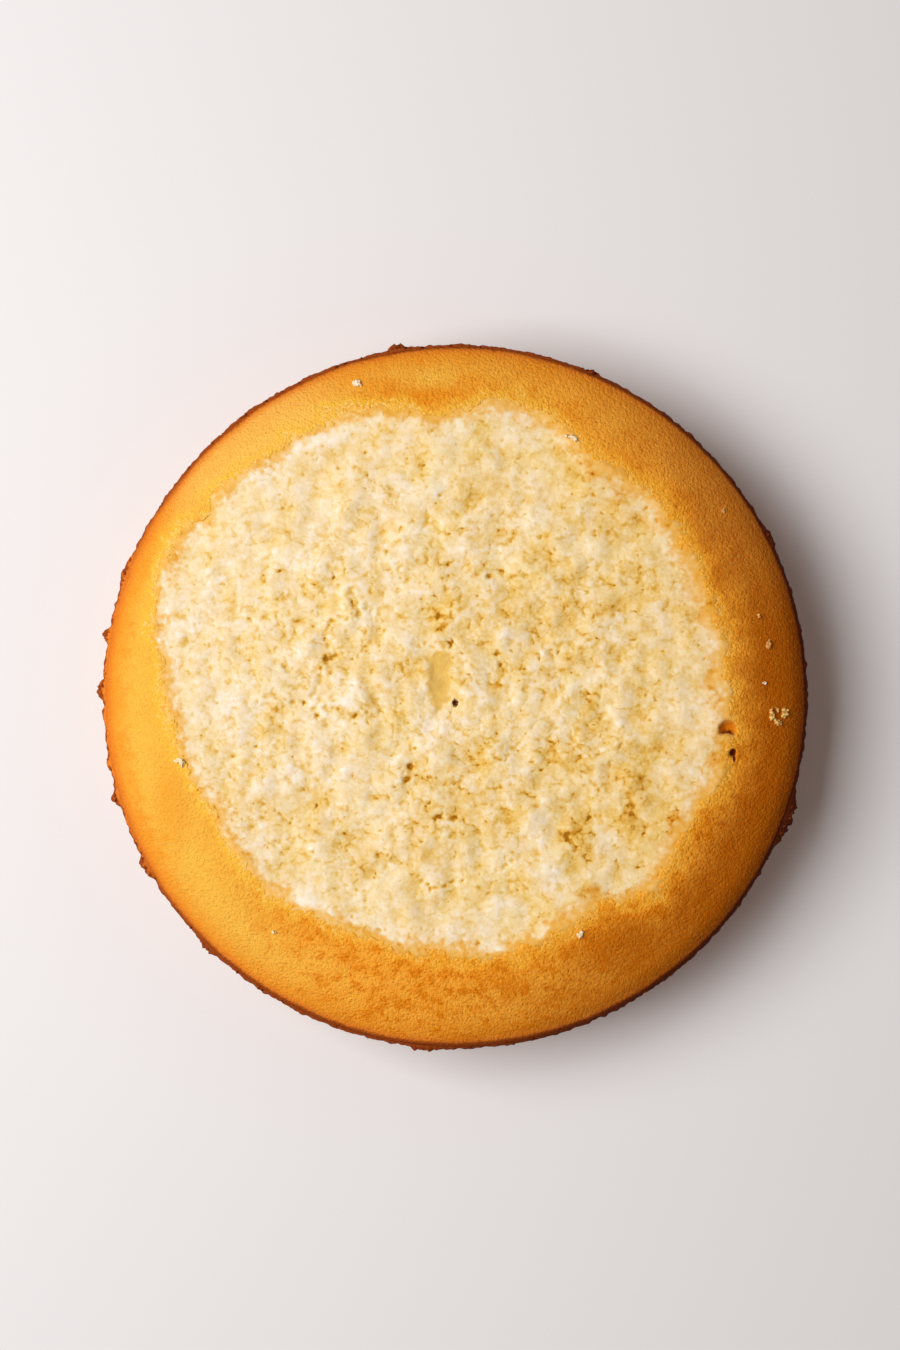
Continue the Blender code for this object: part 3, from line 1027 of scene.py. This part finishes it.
def side_crust_material():
    """The tin-set crust: brown, darkest at the ragged lip, paler in its pits."""
    material, tree, shader, place = new_material("tin_crust", 0.7, 0.08)
    right, up, height = split(tree, place)
    patches = spread(tree, grain(tree, place, TIN_PATCH_SIZE, 4.0, 0.6), -0.6, 0.8)
    mottle = grain(tree, place, TIN_MOTTLE_SIZE, 3.0, 0.6)
    colour = mixed(tree, patches, TIN_GOLD, TIN_BROWN)
    colour = mixed(tree, spread(tree, mottle, 0.0, 0.8, 0.0, 0.5), colour, RIM_BROWN)
    pits = spread(tree, cells(tree, place, TIN_PIT_SPACING)["Distance"], *TIN_PITS)
    colour = mixed(tree, product(tree, pits, 0.6), colour, GOLD)
    at_lip = spread(tree, blend(tree, (height, 1.0), (mottle, 0.0006)), *LIP_STARTS)
    turned_down = spread(tree, blend(tree, (height, 1.0), (mottle, 0.0003)), *LIP_TURNS_DOWN)
    pale_lip = mixed(tree, turned_down, RIM_ORANGE, RIM_BROWN)
    lip_colour = mixed(tree, spread(tree, right, *PALE_LIP_PART), pale_lip, RIM_BROWN)
    colour = mixed(tree, at_lip, colour, lip_colour)
    across = blend(tree, (right, 1.0), (up, DARK_LIP_LEAN), (mottle, 0.015))
    dark = product(tree, at_lip, spread(tree, across, *DARK_LIP_PART))
    colour = mixed(tree, dark, colour, DARK_RIM)
    colour = mixed(tree, spread(tree, height, *BASE_STARTS), colour, TIN_BROWN)
    size, depth = SIDE_CRUST_FINE
    fine = blend(tree, (mottle, 1.0), (grain(tree, place, size), 0.5))
    finish(tree, shader, colour, fine, depth)
    return material


# Geometry Nodes

# How far one seed shifts the torn pattern, the heights that count as a pit, over few or many
# neighbours, and the share of the torn relief that clean-cut crumb still has
SEED_SHIFT = (0.31, 0.17, 0.0)
FINE_PIT = 0.00013
FINE_REACH = 7
BROAD_PIT = 0.00038
BROAD_REACH = 90
LEAST_TORN = 0.35

# A grain's least and most: its shape, its turn in radians and its tone, and how deep its dents are
GRAIN_SHAPES = ((0.55, 0.55, 0.35), (1.35, 1.35, 0.70))
GRAIN_TURNS = ((0.0, 0.0, 0.0), (6.28, 6.28, 6.28))
GRAIN_TONES = (-0.15, 0.15)
DENT_SHARE = 0.9


def new_tree(name, sizes):
    """A Geometry Nodes tree with a named input for each size, and the sockets that it is given."""
    tree = bpy.data.node_groups.new(name, "GeometryNodeTree")
    tree.interface.new_socket("Geometry", in_out="INPUT", socket_type="NodeSocketGeometry")
    tree.interface.new_socket("Geometry", in_out="OUTPUT", socket_type="NodeSocketGeometry")
    for size in sizes:
        tree.interface.new_socket(size, in_out="INPUT", socket_type="NodeSocketFloat")
    tree.interface.new_socket("Seed", in_out="INPUT", socket_type="NodeSocketInt")
    return tree, add(tree, "NodeGroupInput").outputs


def end_tree(tree, geometry, material):
    """Ends a tree as one real mesh in one material."""
    real = add(tree, "GeometryNodeRealizeInstances", {0: geometry}).outputs[0]
    coated = add(tree, "GeometryNodeSetMaterial", {"Geometry": real, "Material": material}).outputs[0]
    tree.links.new(coated, add(tree, "NodeGroupOutput").inputs[0])


def grow(name, bed, tree, sizes, seed):
    """What a tree makes of the bed mesh with these sizes, as a plain mesh object."""
    holder = bpy.data.objects.new(name + "_bed", bed)
    bpy.context.scene.collection.objects.link(holder)
    modifier = holder.modifiers.new("grow", "NODES")
    modifier.node_group = tree
    for socket in tree.interface.items_tree:
        if socket.in_out == "INPUT" and socket.name in sizes:
            modifier[socket.identifier] = sizes[socket.name]
        if socket.name == "Seed":
            modifier[socket.identifier] = seed
    graph = bpy.context.evaluated_depsgraph_get()
    mesh = bpy.data.meshes.new_from_object(holder.evaluated_get(graph))
    mesh.name = name
    bpy.data.objects.remove(holder)
    return new_piece(name, mesh)


def moved(tree, geometry, offset):
    return add(tree, "GeometryNodeSetPosition", {"Geometry": geometry, "Offset": offset}).outputs[0]


def marked(tree, geometry, name, value, domain="POINT"):
    values = {"Geometry": geometry, "Name": name, "Value": value}
    options = {"data_type": "FLOAT", "domain": domain}
    return add(tree, "GeometryNodeStoreNamedAttribute", values, **options).outputs[0]


def by_chance(tree, seed, low, high):
    """A number, or three of them, drawn for each grain."""
    kind, first, drawn = ("FLOAT", 2, 1) if isinstance(low, float) else ("FLOAT_VECTOR", 0, 0)
    values = {first: low, first + 1: high, "Seed": seed}
    return add(tree, "FunctionNodeRandomValue", values, data_type=kind).outputs[drawn]


def torn_crumb_tree(material):
    """Tears the cut's sheet into lumps, valleys, pores and grains, and marks how far each point
    then stands above what is round it. With Seed 0 the relief lies where the colour has it."""
    tree, given = new_tree("torn_crumb", TORN_SIZES)
    place = add(tree, "GeometryNodeInputPosition").outputs[0]
    shifted = vectors(tree, "ADD", place, scaled(tree, SEED_SHIFT, given["Seed"]))
    lumps, tufts, valleys, pores = torn_pattern(tree, shifted, given)
    some = spread(tree, stored(tree, "torn"), 0.0, 1.0, LEAST_TORN, 1.0)
    lift = total(
        tree,
        product(tree, lumps, given["Lump relief"], some),
        product(tree, tufts, given["Tuft height"], some),
        product(tree, valleys, given["Valley depth"], some, -1.0),
        product(tree, pores, given["Pore depth"], -1.0),
        product(tree, grain(tree, shifted, given["Grain size"], 1.0), given["Grain relief"]),
    )
    upwards = add(tree, "ShaderNodeCombineXYZ", {2: product(tree, lift, stored(tree, "rough"))}).outputs[0]
    lifted = moved(tree, given["Geometry"], upwards)

    height = split(tree, place)[2]
    near, far = (
        add(tree, "GeometryNodeBlurAttribute", {"Value": height, "Iterations": reach}).outputs[0]
        for reach in (FINE_REACH, BROAD_REACH)
    )
    fine = calculated(tree, "DIVIDE", calculated(tree, "SUBTRACT", height, near), FINE_PIT)
    broad = calculated(tree, "DIVIDE", calculated(tree, "SUBTRACT", near, far), BROAD_PIT)
    end_tree(tree, marked(tree, lifted, "height", blend(tree, (fine, 0.55), (broad, 0.45))), material)
    return tree


def grain_tree(name, material):
    """Grows a dented grain on each vertex of a mesh, sized by the vertex's "size" attribute."""
    tree, given = new_tree(name, ("Grain size", "Dent size"))
    size, seed = given["Grain size"], given["Seed"]
    lump = add(tree, "GeometryNodeMeshIcoSphere", {"Radius": 0.5, "Subdivisions": 2})
    uneven = by_chance(tree, seed, *GRAIN_SHAPES)
    values = {
        "Points": given["Geometry"],
        "Instance": lump.outputs[0],
        "Rotation": by_chance(tree, seed, *GRAIN_TURNS),
        "Scale": scaled(tree, uneven, product(tree, size, stored(tree, "size"))),
    }
    grains = add(tree, "GeometryNodeInstanceOnPoints", values).outputs[0]
    own_tone = total(tree, by_chance(tree, seed, *GRAIN_TONES), stored(tree, "lightness"))
    toned = marked(tree, grains, "tone", own_tone, "INSTANCE")
    real = add(tree, "GeometryNodeRealizeInstances", {0: toned}).outputs[0]
    where = add(tree, "GeometryNodeInputPosition").outputs[0]
    dents = scaled(tree, pushes(tree, where, given["Dent size"]), product(tree, size, DENT_SHARE))
    end_tree(tree, moved(tree, real, dents), material)
    return tree


# Pieces

# The crumb's hidden wall: how far it stands inside the side crust, and below and above its ends
CRUMB_WALL_INSET = 0.0008
CRUMB_WALL_END = 0.0010


def make_crumb(material):
    """The crumb: a fine sheet over the cut face, closed out to the side crust and down to the base."""
    row_step = CRUMB_STEP * math.sqrt(3) / 2
    half = int((max(CUT_RADII_MM) / 1000 + CRUMB_MARGIN) / row_step) + 1
    count = 2 * half + 1
    numbers = -np.ones((count, count), int)
    points = []
    known = []
    for row in range(count):
        shift = 0.25 if row % 2 else -0.25
        for column in range(count):
            flat = Vector(((column - half + shift) * CRUMB_STEP, (row - half) * row_step, 0.0))
            if flat.length < cut_radius(math.atan2(flat.y, flat.x)) + CRUMB_MARGIN:
                height, *others = crumb_point(flat)
                numbers[row, column] = len(points)
                points.append((flat.x, flat.y, height))
                known.append(others)
    faces = []
    for row in range(count - 1):
        for column in range(count - 1):
            a, b = numbers[row, column], numbers[row, column + 1]
            c, d = numbers[row + 1, column], numbers[row + 1, column + 1]
            pair = ((a, b, c), (b, d, c)) if not row % 2 else ((a, b, d), (a, d, c))
            faces += [tuple(map(int, corners)) for corners in pair if min(corners) >= 0]
    sheet = bpy.data.meshes.new("crumb_sheet")
    sheet.from_pydata(points, [], faces)
    for name, values in zip(CRUMB_MARKS, zip(*known)):
        set_attribute(sheet, name, values)
    set_attribute(sheet, "clump", clump_tones(points))
    close_below(sheet)
    sheet.transform(TO_AXIS)
    return grow("crumb", sheet, torn_crumb_tree(material), TORN_SIZES, 0)


def close_below(mesh):
    """Closes the crumb's sheet: out under the crust to the side, down, and in across the base."""
    form = bmesh.new()
    form.from_mesh(mesh)
    loose = [vertex for vertex in form.verts if not vertex.link_faces]
    bmesh.ops.delete(form, geom=loose, context="VERTS")
    rough = form.verts.layers.float["rough"]
    edge = [e for e in form.edges if e.is_boundary]
    for height in (SIDE_HEIGHT - CRUMB_WALL_END, CRUMB_WALL_END):
        grown = bmesh.ops.extrude_edge_only(form, edges=edge)["geom"]
        edge = [item for item in grown if isinstance(item, bmesh.types.BMEdge) and item.is_boundary]
        for vertex in {v for e in edge for v in e.verts}:
            angle = math.atan2(vertex.co.y, vertex.co.x)
            vertex.co = around(BASE_RADIUS - CRUMB_WALL_INSET, angle, height)
            vertex[rough] = 0.0
    middle = form.verts.new((0.0, 0.0, CRUMB_WALL_END))
    for e in edge:
        form.faces.new((*e.verts, middle))
    bmesh.ops.recalc_face_normals(form, faces=form.faces)
    form.to_mesh(mesh)
    form.free()


def turned(name, rows, segments, pole=False):
    """A closed mesh of rings joined in order. Each row gives a point for an angle. With pole, the
    first and the last ring shrink to a point each, and otherwise the last joins the first."""
    step = 2 * math.pi / segments
    points = [row(k * step) for row in rows for k in range(segments)]
    count = len(rows)
    faces = []
    for upper in range(count - 1 if pole else count):
        lower = (upper + 1) % count
        for k in range(segments):
            after = (k + 1) % segments
            faces.append((
                upper * segments + k,
                lower * segments + k,
                lower * segments + after,
                upper * segments + after,
            ))
    if pole:
        for ring in (0, count - 1):
            points.append(Vector((0.0, 0.0, points[ring * segments].z)))
            middle = len(points) - 1
            for k in range(segments):
                faces.append((ring * segments + k, ring * segments + (k + 1) % segments, middle))
    mesh = bpy.data.meshes.new(name)
    mesh.from_pydata(points, [], faces)
    form = bmesh.new()
    form.from_mesh(mesh)
    bmesh.ops.recalc_face_normals(form, faces=form.faces)
    form.to_mesh(mesh)
    form.free()
    return mesh


def nearest_pit(place, spacing, draw):
    """Distance from the nearest of the scattered pits, as a share of their spacing, and its chance."""
    distances, middles = noise.voronoi(place / spacing)
    return distances[0], noise.cell(middles[0] * draw)


# The top crust's fine relief: size and height of its pimples, its pits, and its cracks
PIMPLES = ((0.0010, 0.00009), (0.0024, 0.00005))
PIT_SPACING = 0.0060
PIT_DRAW = 3.3
PIT_CHANCE = 0.35
PIT_DEPTH = 0.00035
PIT_WIDTH = 0.09
CRACK_SPACING = 0.0048
CRACK_WARP_SIZE = 0.0025
CRACK_WARP = 0.15
CRACK_DEPTH = 0.00022
CRACK_WIDTH = 0.05
CRACKED_SIZE = 0.0090
CRACKED_SHIFT = (0.0, 0.0, 4.0)
CRACKED = (0.1, 0.4)

# How far the top crust stops short of the rim, and its underside: share of the way out, and depth
CRUST_SHORT = 0.0003
CRUST_UNDERSIDE = ((0.97, 0.0030), (0.5, 0.0040), (0.05, 0.0045))


def crust_grain(flat):
    """Fine pimples of the baked surface, with a few small pits and cracks."""
    away, chance = nearest_pit(flat, PIT_SPACING, PIT_DRAW)
    pit = PIT_DEPTH * max(1 - away / PIT_WIDTH, 0.0) if chance > PIT_CHANCE else 0.0
    warp = noise.noise_vector(flat / CRACK_WARP_SIZE) * CRACK_WARP
    from_crack = abs(wave(flat, CRACK_SPACING, warp)) / CRACK_WIDTH
    cracked = smooth_step(*CRACKED, wave(flat, CRACKED_SIZE, CRACKED_SHIFT))
    return waves(flat, PIMPLES) - pit - CRACK_DEPTH * max(1 - from_crack, 0.0) * cracked


def make_top_crust(material):
    """The browned ring on top: its upper side in fine rings, and a coarse underside."""
    edge_radius = RIM_RADIUS - CRUST_EDGE_INSET
    edge_height = dome_height(edge_radius)
    lip_radius = RIM_RADIUS + LIP_SECTION[0][0]

    def radius_at(angle, share):
        inner = cut_radius(angle) - CRUST_MARGIN
        return inner + (RIM_RADIUS - CRUST_SHORT - inner) * share

    def upper(share):
        def point(angle):
            radius = radius_at(angle, share)
            flat = around(radius, angle, 0.0)
            height = top_height(flat)
            if radius > edge_radius:
                fall = (radius - edge_radius) / (lip_radius - edge_radius)
                height = edge_height + (SIDE_HEIGHT - edge_height) * fall
            inside = smooth_step(0.0, -SKIN_DIP_WIDTH, beyond_cut(flat))
            height += crust_grain(flat) - SKIN_DIP * inside - bubble_depth(flat)
            return Vector((flat.x, flat.y, height))

        return point

    def under(share, depth):
        def point(angle):
            radius = radius_at(angle, share)
            return around(radius, angle, top_height(around(radius, angle, 0.0)) - depth)

        return point

    rows = [upper(k / (CRUST_ROWS - 1)) for k in range(CRUST_ROWS)]
    rows += [under(*row) for row in CRUST_UNDERSIDE]
    mesh = turned("top_crust", rows, CRUST_SEGMENTS)
    flats = [Vector((vertex.co.x, vertex.co.y, 0.0)) for vertex in mesh.vertices]
    set_attribute(mesh, "beyond", [beyond_cut(flat) * 1000 for flat in flats])
    set_attribute(mesh, "rim", [(RIM_RADIUS - flat.length) * 1000 for flat in flats])
    mesh.transform(TO_AXIS)
    return new_piece("top_crust", mesh, material)


# The side crust's relief: its grain, and the pits where bubbles met the tin
SIDE_GRAIN = ((SIDE_NOISE_SIZE, SIDE_NOISE_RELIEF), (0.0016, 0.00012))
SIDE_PIT_SPACING = 0.0042
SIDE_PIT_DRAW = 6.1
SIDE_PIT_CHANCE = -0.2
SIDE_PIT_DEPTH = 0.00055
SIDE_PIT_WIDTHS = (0.14, 0.22)

# The lip's raggedness, how unevenly its flakes tore, and how far it lifts
LIP_GRAIN = ((0.0012, 0.00040), (0.0021, 0.00030))
LIP_TEAR_SIZE = 0.0011
LIP_TEAR = 0.8
LIP_TEAR_SHIFT = (0.0, 8.0, 0.0)
LIP_LIFT_SIZE = 0.0017
LIP_LIFT = 0.00040
LIP_LIFT_SHIFT = (4.0, 0.0, 0.0)

# Hidden rings of the side crust: inwards from the top crust's edge and up from the rim, and the
# inside of the cup, as its floor, its wall and how far it stays from the rim and below it
LIP_ROOT = ((-0.0012, 0.0004), (0.0006, 0.0006))
CUP_FLOOR = 0.0015
CUP_WALL = 0.0018
CUP_TOP = (0.0030, 0.0016)


def side_relief(place):
    """The tin-set side: a fine grain, and shallow pits of uneven width."""
    away, chance = nearest_pit(place, SIDE_PIT_SPACING, SIDE_PIT_DRAW)
    pit = 0.0
    if chance > SIDE_PIT_CHANCE:
        width = SIDE_PIT_WIDTHS[0] + SIDE_PIT_WIDTHS[1] * abs(chance)
        pit = SIDE_PIT_DEPTH * max(1 - (away / width) ** 2, 0.0)
    return waves(place, SIDE_GRAIN) - pit


def make_side_crust(material):
    """The crust of the side and base with its ragged lip: a thin closed cup."""

    def fixed(radius, height):
        return lambda angle: around(radius, angle, height)

    def lip(reach, drop, share):
        def point(angle):
            place = around(RIM_RADIUS, angle, SIDE_HEIGHT - drop)
            torn = 1 + LIP_TEAR * wave(place, LIP_TEAR_SIZE, LIP_TEAR_SHIFT)
            radius = RIM_RADIUS + reach + share * (lip_relief(angle) * torn + waves(place, LIP_GRAIN))
            lift = LIP_LIFT * wave(place, LIP_LIFT_SIZE, LIP_LIFT_SHIFT)
            return around(radius, angle, place.z + lift)

        return point

    def wall(radius, height, share=1.0):
        def point(angle):
            relief = side_relief(around(radius, angle, height))
            return around(radius + relief * share, angle, height)

        return point

    def side(height):
        share = (height - BASE_CORNER) / (SIDE_HEIGHT - BASE_CORNER)
        return wall(BASE_RADIUS + (RIM_RADIUS - BASE_RADIUS) * share, height)

    def corner(bend):
        radius = BASE_RADIUS - BASE_CORNER * (1 - math.cos(bend))
        return wall(radius, BASE_CORNER * (1 - math.sin(bend)), math.cos(bend))

    flat_radius = BASE_RADIUS - BASE_CORNER
    rows = [
        fixed(flat_radius * 0.1, CUP_FLOOR),
        fixed(BASE_RADIUS - CUP_WALL, CUP_FLOOR),
        fixed(RIM_RADIUS - CUP_TOP[0], SIDE_HEIGHT - CUP_TOP[1]),
    ]
    rows += [fixed(RIM_RADIUS - CRUST_EDGE_INSET + out, SIDE_HEIGHT + up) for out, up in LIP_ROOT]
    for first, second in zip(LIP_SECTION, LIP_SECTION[1:]):
        for k in range(LIP_ROWS):
            rows.append(lip(*(a + (b - a) * k / LIP_ROWS for a, b in zip(first, second))))
    rows.append(lip(*LIP_SECTION[-1]))
    side_top = SIDE_HEIGHT - LIP_DEPTH
    rows += [side(side_top + (BASE_CORNER - side_top) * k / (SIDE_ROWS - 1)) for k in range(SIDE_ROWS)]
    rows += [corner(k / CORNER_ROWS * math.pi / 2) for k in range(1, CORNER_ROWS + 1)]
    rows += [fixed(flat_radius * (1 - k / BASE_ROWS), 0.0) for k in range(1, BASE_ROWS)]
    mesh = turned("side_crust", rows, SIDE_SEGMENTS, pole=True)
    mesh.transform(TO_AXIS)
    return new_piece("side_crust", mesh, material)


# Loose crumbs on the crust: place in mm, length along, width, the way they lie in degrees, and
# their tone, from 0 for ochre to 1 for milk
LOOSE_CRUMBS = (
    (-27.1, 86.8, 2.6, 2.2, 20.0, 0.85),
    (31.9, 71.4, 4.0, 1.3, -24.0, 0.75),
    (87.6, -4.9, 1.4, 4.0, 8.0, 0.30),
    (89.3, -6.9, 2.4, 1.4, 0.0, 0.26),
    (91.2, -4.6, 1.6, 3.2, -14.0, 0.34),
    (89.2, -3.4, 1.4, 1.0, 0.0, 0.28),
    (-75.7, -17.8, 3.2, 1.8, -38.0, 0.80),
    (34.2, -65.2, 1.5, 2.4, 0.0, 0.90),
    (-49.9, -64.6, 1.1, 0.9, 0.0, 0.70),
    (85.3, 4.0, 0.9, 0.9, 0.0, 0.90),
    (86.8, 14.8, 1.3, 3.0, -12.0, 0.20),
    (83.8, 22.5, 0.7, 1.0, 0.0, 0.15),
    (74.1, 51.8, 0.8, 1.1, 0.0, 0.30),
)

# Each loose crumb is a heap of grains: how many at least and per square mm, the share of its size
# that their middles take up, and their sizes as shares of its width, which counts up to a limit
# in mm. Their lift is a share of their size
FEWEST_GRAINS = 5
GRAINS_PER_SQUARE_MM = 3.2
HEAP_SHARE = 0.7
HEAP_GRAIN_SIZES = (0.6, 1.1)
WIDEST_CRUMB = 1.3
GRAIN_LIFTS = (0.2, 0.5)

# The stretch of the rim, in degrees, that crumbs cling to all along, how many do, and how many
# more cling to a flake: a few, and some for each metre that it stands out
CRUMBY_RIM = (75.0, 335.0)
RIM_CRUMB_COUNT = 380
FLAKE_CRUMBS = (18, 12000)

# Their sizes in mm, how far they lie below the rim, beyond it and out along a flake, and how far
# each mm of size sets them in. Then their tone: the middle, less on the right, more at the left
RIM_GRAIN_SIZES = (0.5, 1.3)
RIM_GRAIN_DROPS = (-0.0002, 0.0018)
RIM_GRAIN_OUT = 0.0002
ALONG_FLAKE = (0.5, 1.0)
RIM_GRAIN_INSET = 0.0003
RIM_GRAIN_TONE = 0.28
DARKER_RIGHT = 0.13
PALER_LEFT = 0.32
PALER_LEFT_FADE = 4


def make_grains(name, points, sizes, tones, material, grain_sizes, seed):
    """Grains at the points, each with its size in mm and its tone."""
    bed = bpy.data.meshes.new(name + "_bed")
    bed.from_pydata(points, [], [])
    set_attribute(bed, "size", sizes)
    set_attribute(bed, "lightness", tones)
    bed.transform(TO_AXIS)
    return grow(name, bed, grain_tree(name, material), grain_sizes, seed)


def make_loose_crumbs(material):
    """Cream crumbs that dropped on the crust, each a little heap of grains."""
    points, sizes, tones = [], [], []
    random = np.random.default_rng(5)
    for x, y, length, width, lie, tone in LOOSE_CRUMBS:
        turn = math.radians(lie)
        for _ in range(max(FEWEST_GRAINS, round(length * width * GRAINS_PER_SQUARE_MM))):
            along, aside = random.uniform(-0.5, 0.5, 2) * (length * HEAP_SHARE, width * HEAP_SHARE)
            flat = Vector((
                (x + along * math.cos(turn) - aside * math.sin(turn)) / 1000,
                (y + along * math.sin(turn) + aside * math.cos(turn)) / 1000,
                0.0,
            ))
            size = random.uniform(*HEAP_GRAIN_SIZES) * min(width, WIDEST_CRUMB)
            lift = random.uniform(*GRAIN_LIFTS) * size / 1000
            points.append((flat.x, flat.y, top_height(flat) + lift))
            sizes.append(size)
            tones.append(tone)
    grain_sizes = {"Grain size": 0.001, "Dent size": 0.0007}
    return make_grains("loose_crumbs", points, sizes, tones, material, grain_sizes, 3)


def make_rim_crumbs(material):
    """Browned crumbs that cling to the lip, thickest at its flakes and palest at the far left."""
    random = np.random.default_rng(11)
    points, sizes, tones = [], [], []
    angles = list(random.uniform(*CRUMBY_RIM, RIM_CRUMB_COUNT))
    for degrees, half_width, reach in FLAKES:
        count = int(FLAKE_CRUMBS[0] + reach * FLAKE_CRUMBS[1])
        angles += list(random.normal(degrees, half_width * 0.5, count))
    for degrees in angles:
        angle = math.radians(degrees)
        out = RIM_RADIUS + RIM_GRAIN_OUT + lip_relief(angle) * random.uniform(*ALONG_FLAKE)
        size = random.uniform(*RIM_GRAIN_SIZES)
        height = SIDE_HEIGHT - random.uniform(*RIM_GRAIN_DROPS)
        points.append(around(out - size * RIM_GRAIN_INSET, angle, height))
        sizes.append(size)
        right = math.cos(angle)
        paler = PALER_LEFT * max(-right, 0.0) ** PALER_LEFT_FADE
        tones.append(RIM_GRAIN_TONE - DARKER_RIGHT * max(right, 0.0) + paler)
    grain_sizes = {"Grain size": 0.0010, "Dent size": 0.0006}
    return make_grains("rim_crumbs", points, sizes, tones, material, grain_sizes, 8)


# Camera, floor and light

CAMERA_ABOVE_RIM = 0.6015
CAMERA_ASIDE = (-0.0015, 0.0061)
LENS_MM = 57.4
SENSOR_MM = 36.0
NEAREST_SEEN = 0.01
FLOOR_RADIUS = 2.5
FLOOR_COLOUR = shade(230, 223, 222)
FLOOR_ROUGHNESS = 0.7
ROOM_COLOUR = (1.0, 0.89, 0.83, 1.0)
ROOM_STRENGTH = 0.20
WINDOW_TOWARDS = (-1.0, 0.14, 1.5)
WINDOW_DISTANCE = 1.2
WINDOW_SIZE = 0.8
WINDOW_WATTS = 16.9
WINDOW_COLOUR = (0.935, 0.98, 0.99)


def add_camera():
    camera = bpy.data.objects.new("camera", bpy.data.cameras.new("camera"))
    camera.data.lens = LENS_MM
    camera.data.sensor_width = SENSOR_MM
    camera.data.clip_start = NEAREST_SEEN
    height = SIDE_HEIGHT + CAMERA_ABOVE_RIM
    camera.location = (AXIS.x + CAMERA_ASIDE[0], AXIS.y + CAMERA_ASIDE[1], height)
    bpy.context.scene.collection.objects.link(camera)
    bpy.context.scene.camera = camera


def add_floor():
    form = bmesh.new()
    bmesh.ops.create_circle(form, cap_ends=True, radius=FLOOR_RADIUS, segments=96)
    mesh = bpy.data.meshes.new("floor")
    form.to_mesh(mesh)
    form.free()
    material = bpy.data.materials.new("pale_floor")
    material.use_nodes = True
    shader = material.node_tree.nodes["Principled BSDF"]
    fill(material.node_tree, shader, {"Base Color": FLOOR_COLOUR, "Roughness": FLOOR_ROUGHNESS})
    mesh.materials.append(material)
    floor = bpy.data.objects.new("floor", mesh)
    bpy.context.scene.collection.objects.link(floor)


def light_scene():
    """A soft room, and a window high on the left that shines on the cake."""
    world = bpy.data.worlds.new("soft_room")
    world.use_nodes = True
    background = world.node_tree.nodes["Background"]
    fill(world.node_tree, background, {"Color": ROOM_COLOUR, "Strength": ROOM_STRENGTH})
    bpy.context.scene.world = world
    bpy.context.scene.view_settings.view_transform = "Standard"
    lamp = bpy.data.lights.new("window", "AREA")
    lamp.size = WINDOW_SIZE
    lamp.energy = WINDOW_WATTS
    lamp.color = WINDOW_COLOUR
    window = bpy.data.objects.new("window", lamp)
    direction = Vector(WINDOW_TOWARDS).normalized()
    window.location = direction * WINDOW_DISTANCE
    window.rotation_euler = direction.to_track_quat("Z", "Y").to_euler()
    bpy.context.scene.collection.objects.link(window)


# The CAD solid's box is centred on the origin, so its turned form stands a little off it
base = [vertex.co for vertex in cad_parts["cake"].data.vertices if vertex.co.z < 1e-5]
AXIS = Vector([(min(p[k] for p in base) + max(p[k] for p in base)) / 2 for k in range(2)] + [0.0])
TO_AXIS = Matrix.Translation(AXIS)

crumb = make_crumb(crumb_material())
top_crust = make_top_crust(top_crust_material())
side_crust = make_side_crust(side_crust_material())
crumb_grain = grain_material("crumb_grain", 0.9, CRUMB_GRAIN_STOPS, 0.1, LOOSE_GRAIN_FINE)
loose_crumbs = make_loose_crumbs(crumb_grain)
rim_crumb = grain_material("rim_crumb", 0.75, RIM_CRUMB_STOPS, 0.15, RIM_GRAIN_FINE)
rim_crumbs = make_rim_crumbs(rim_crumb)

for piece, slot in (
    (crumb, "crumb"), (top_crust, "crust"), (side_crust, "crust"),
    (loose_crumbs, "crumb"), (rim_crumbs, "crust"),
):
    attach(piece, "root")
for piece in (crumb, top_crust, side_crust):
    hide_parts("cake")

add_floor()
light_scene()
add_camera()
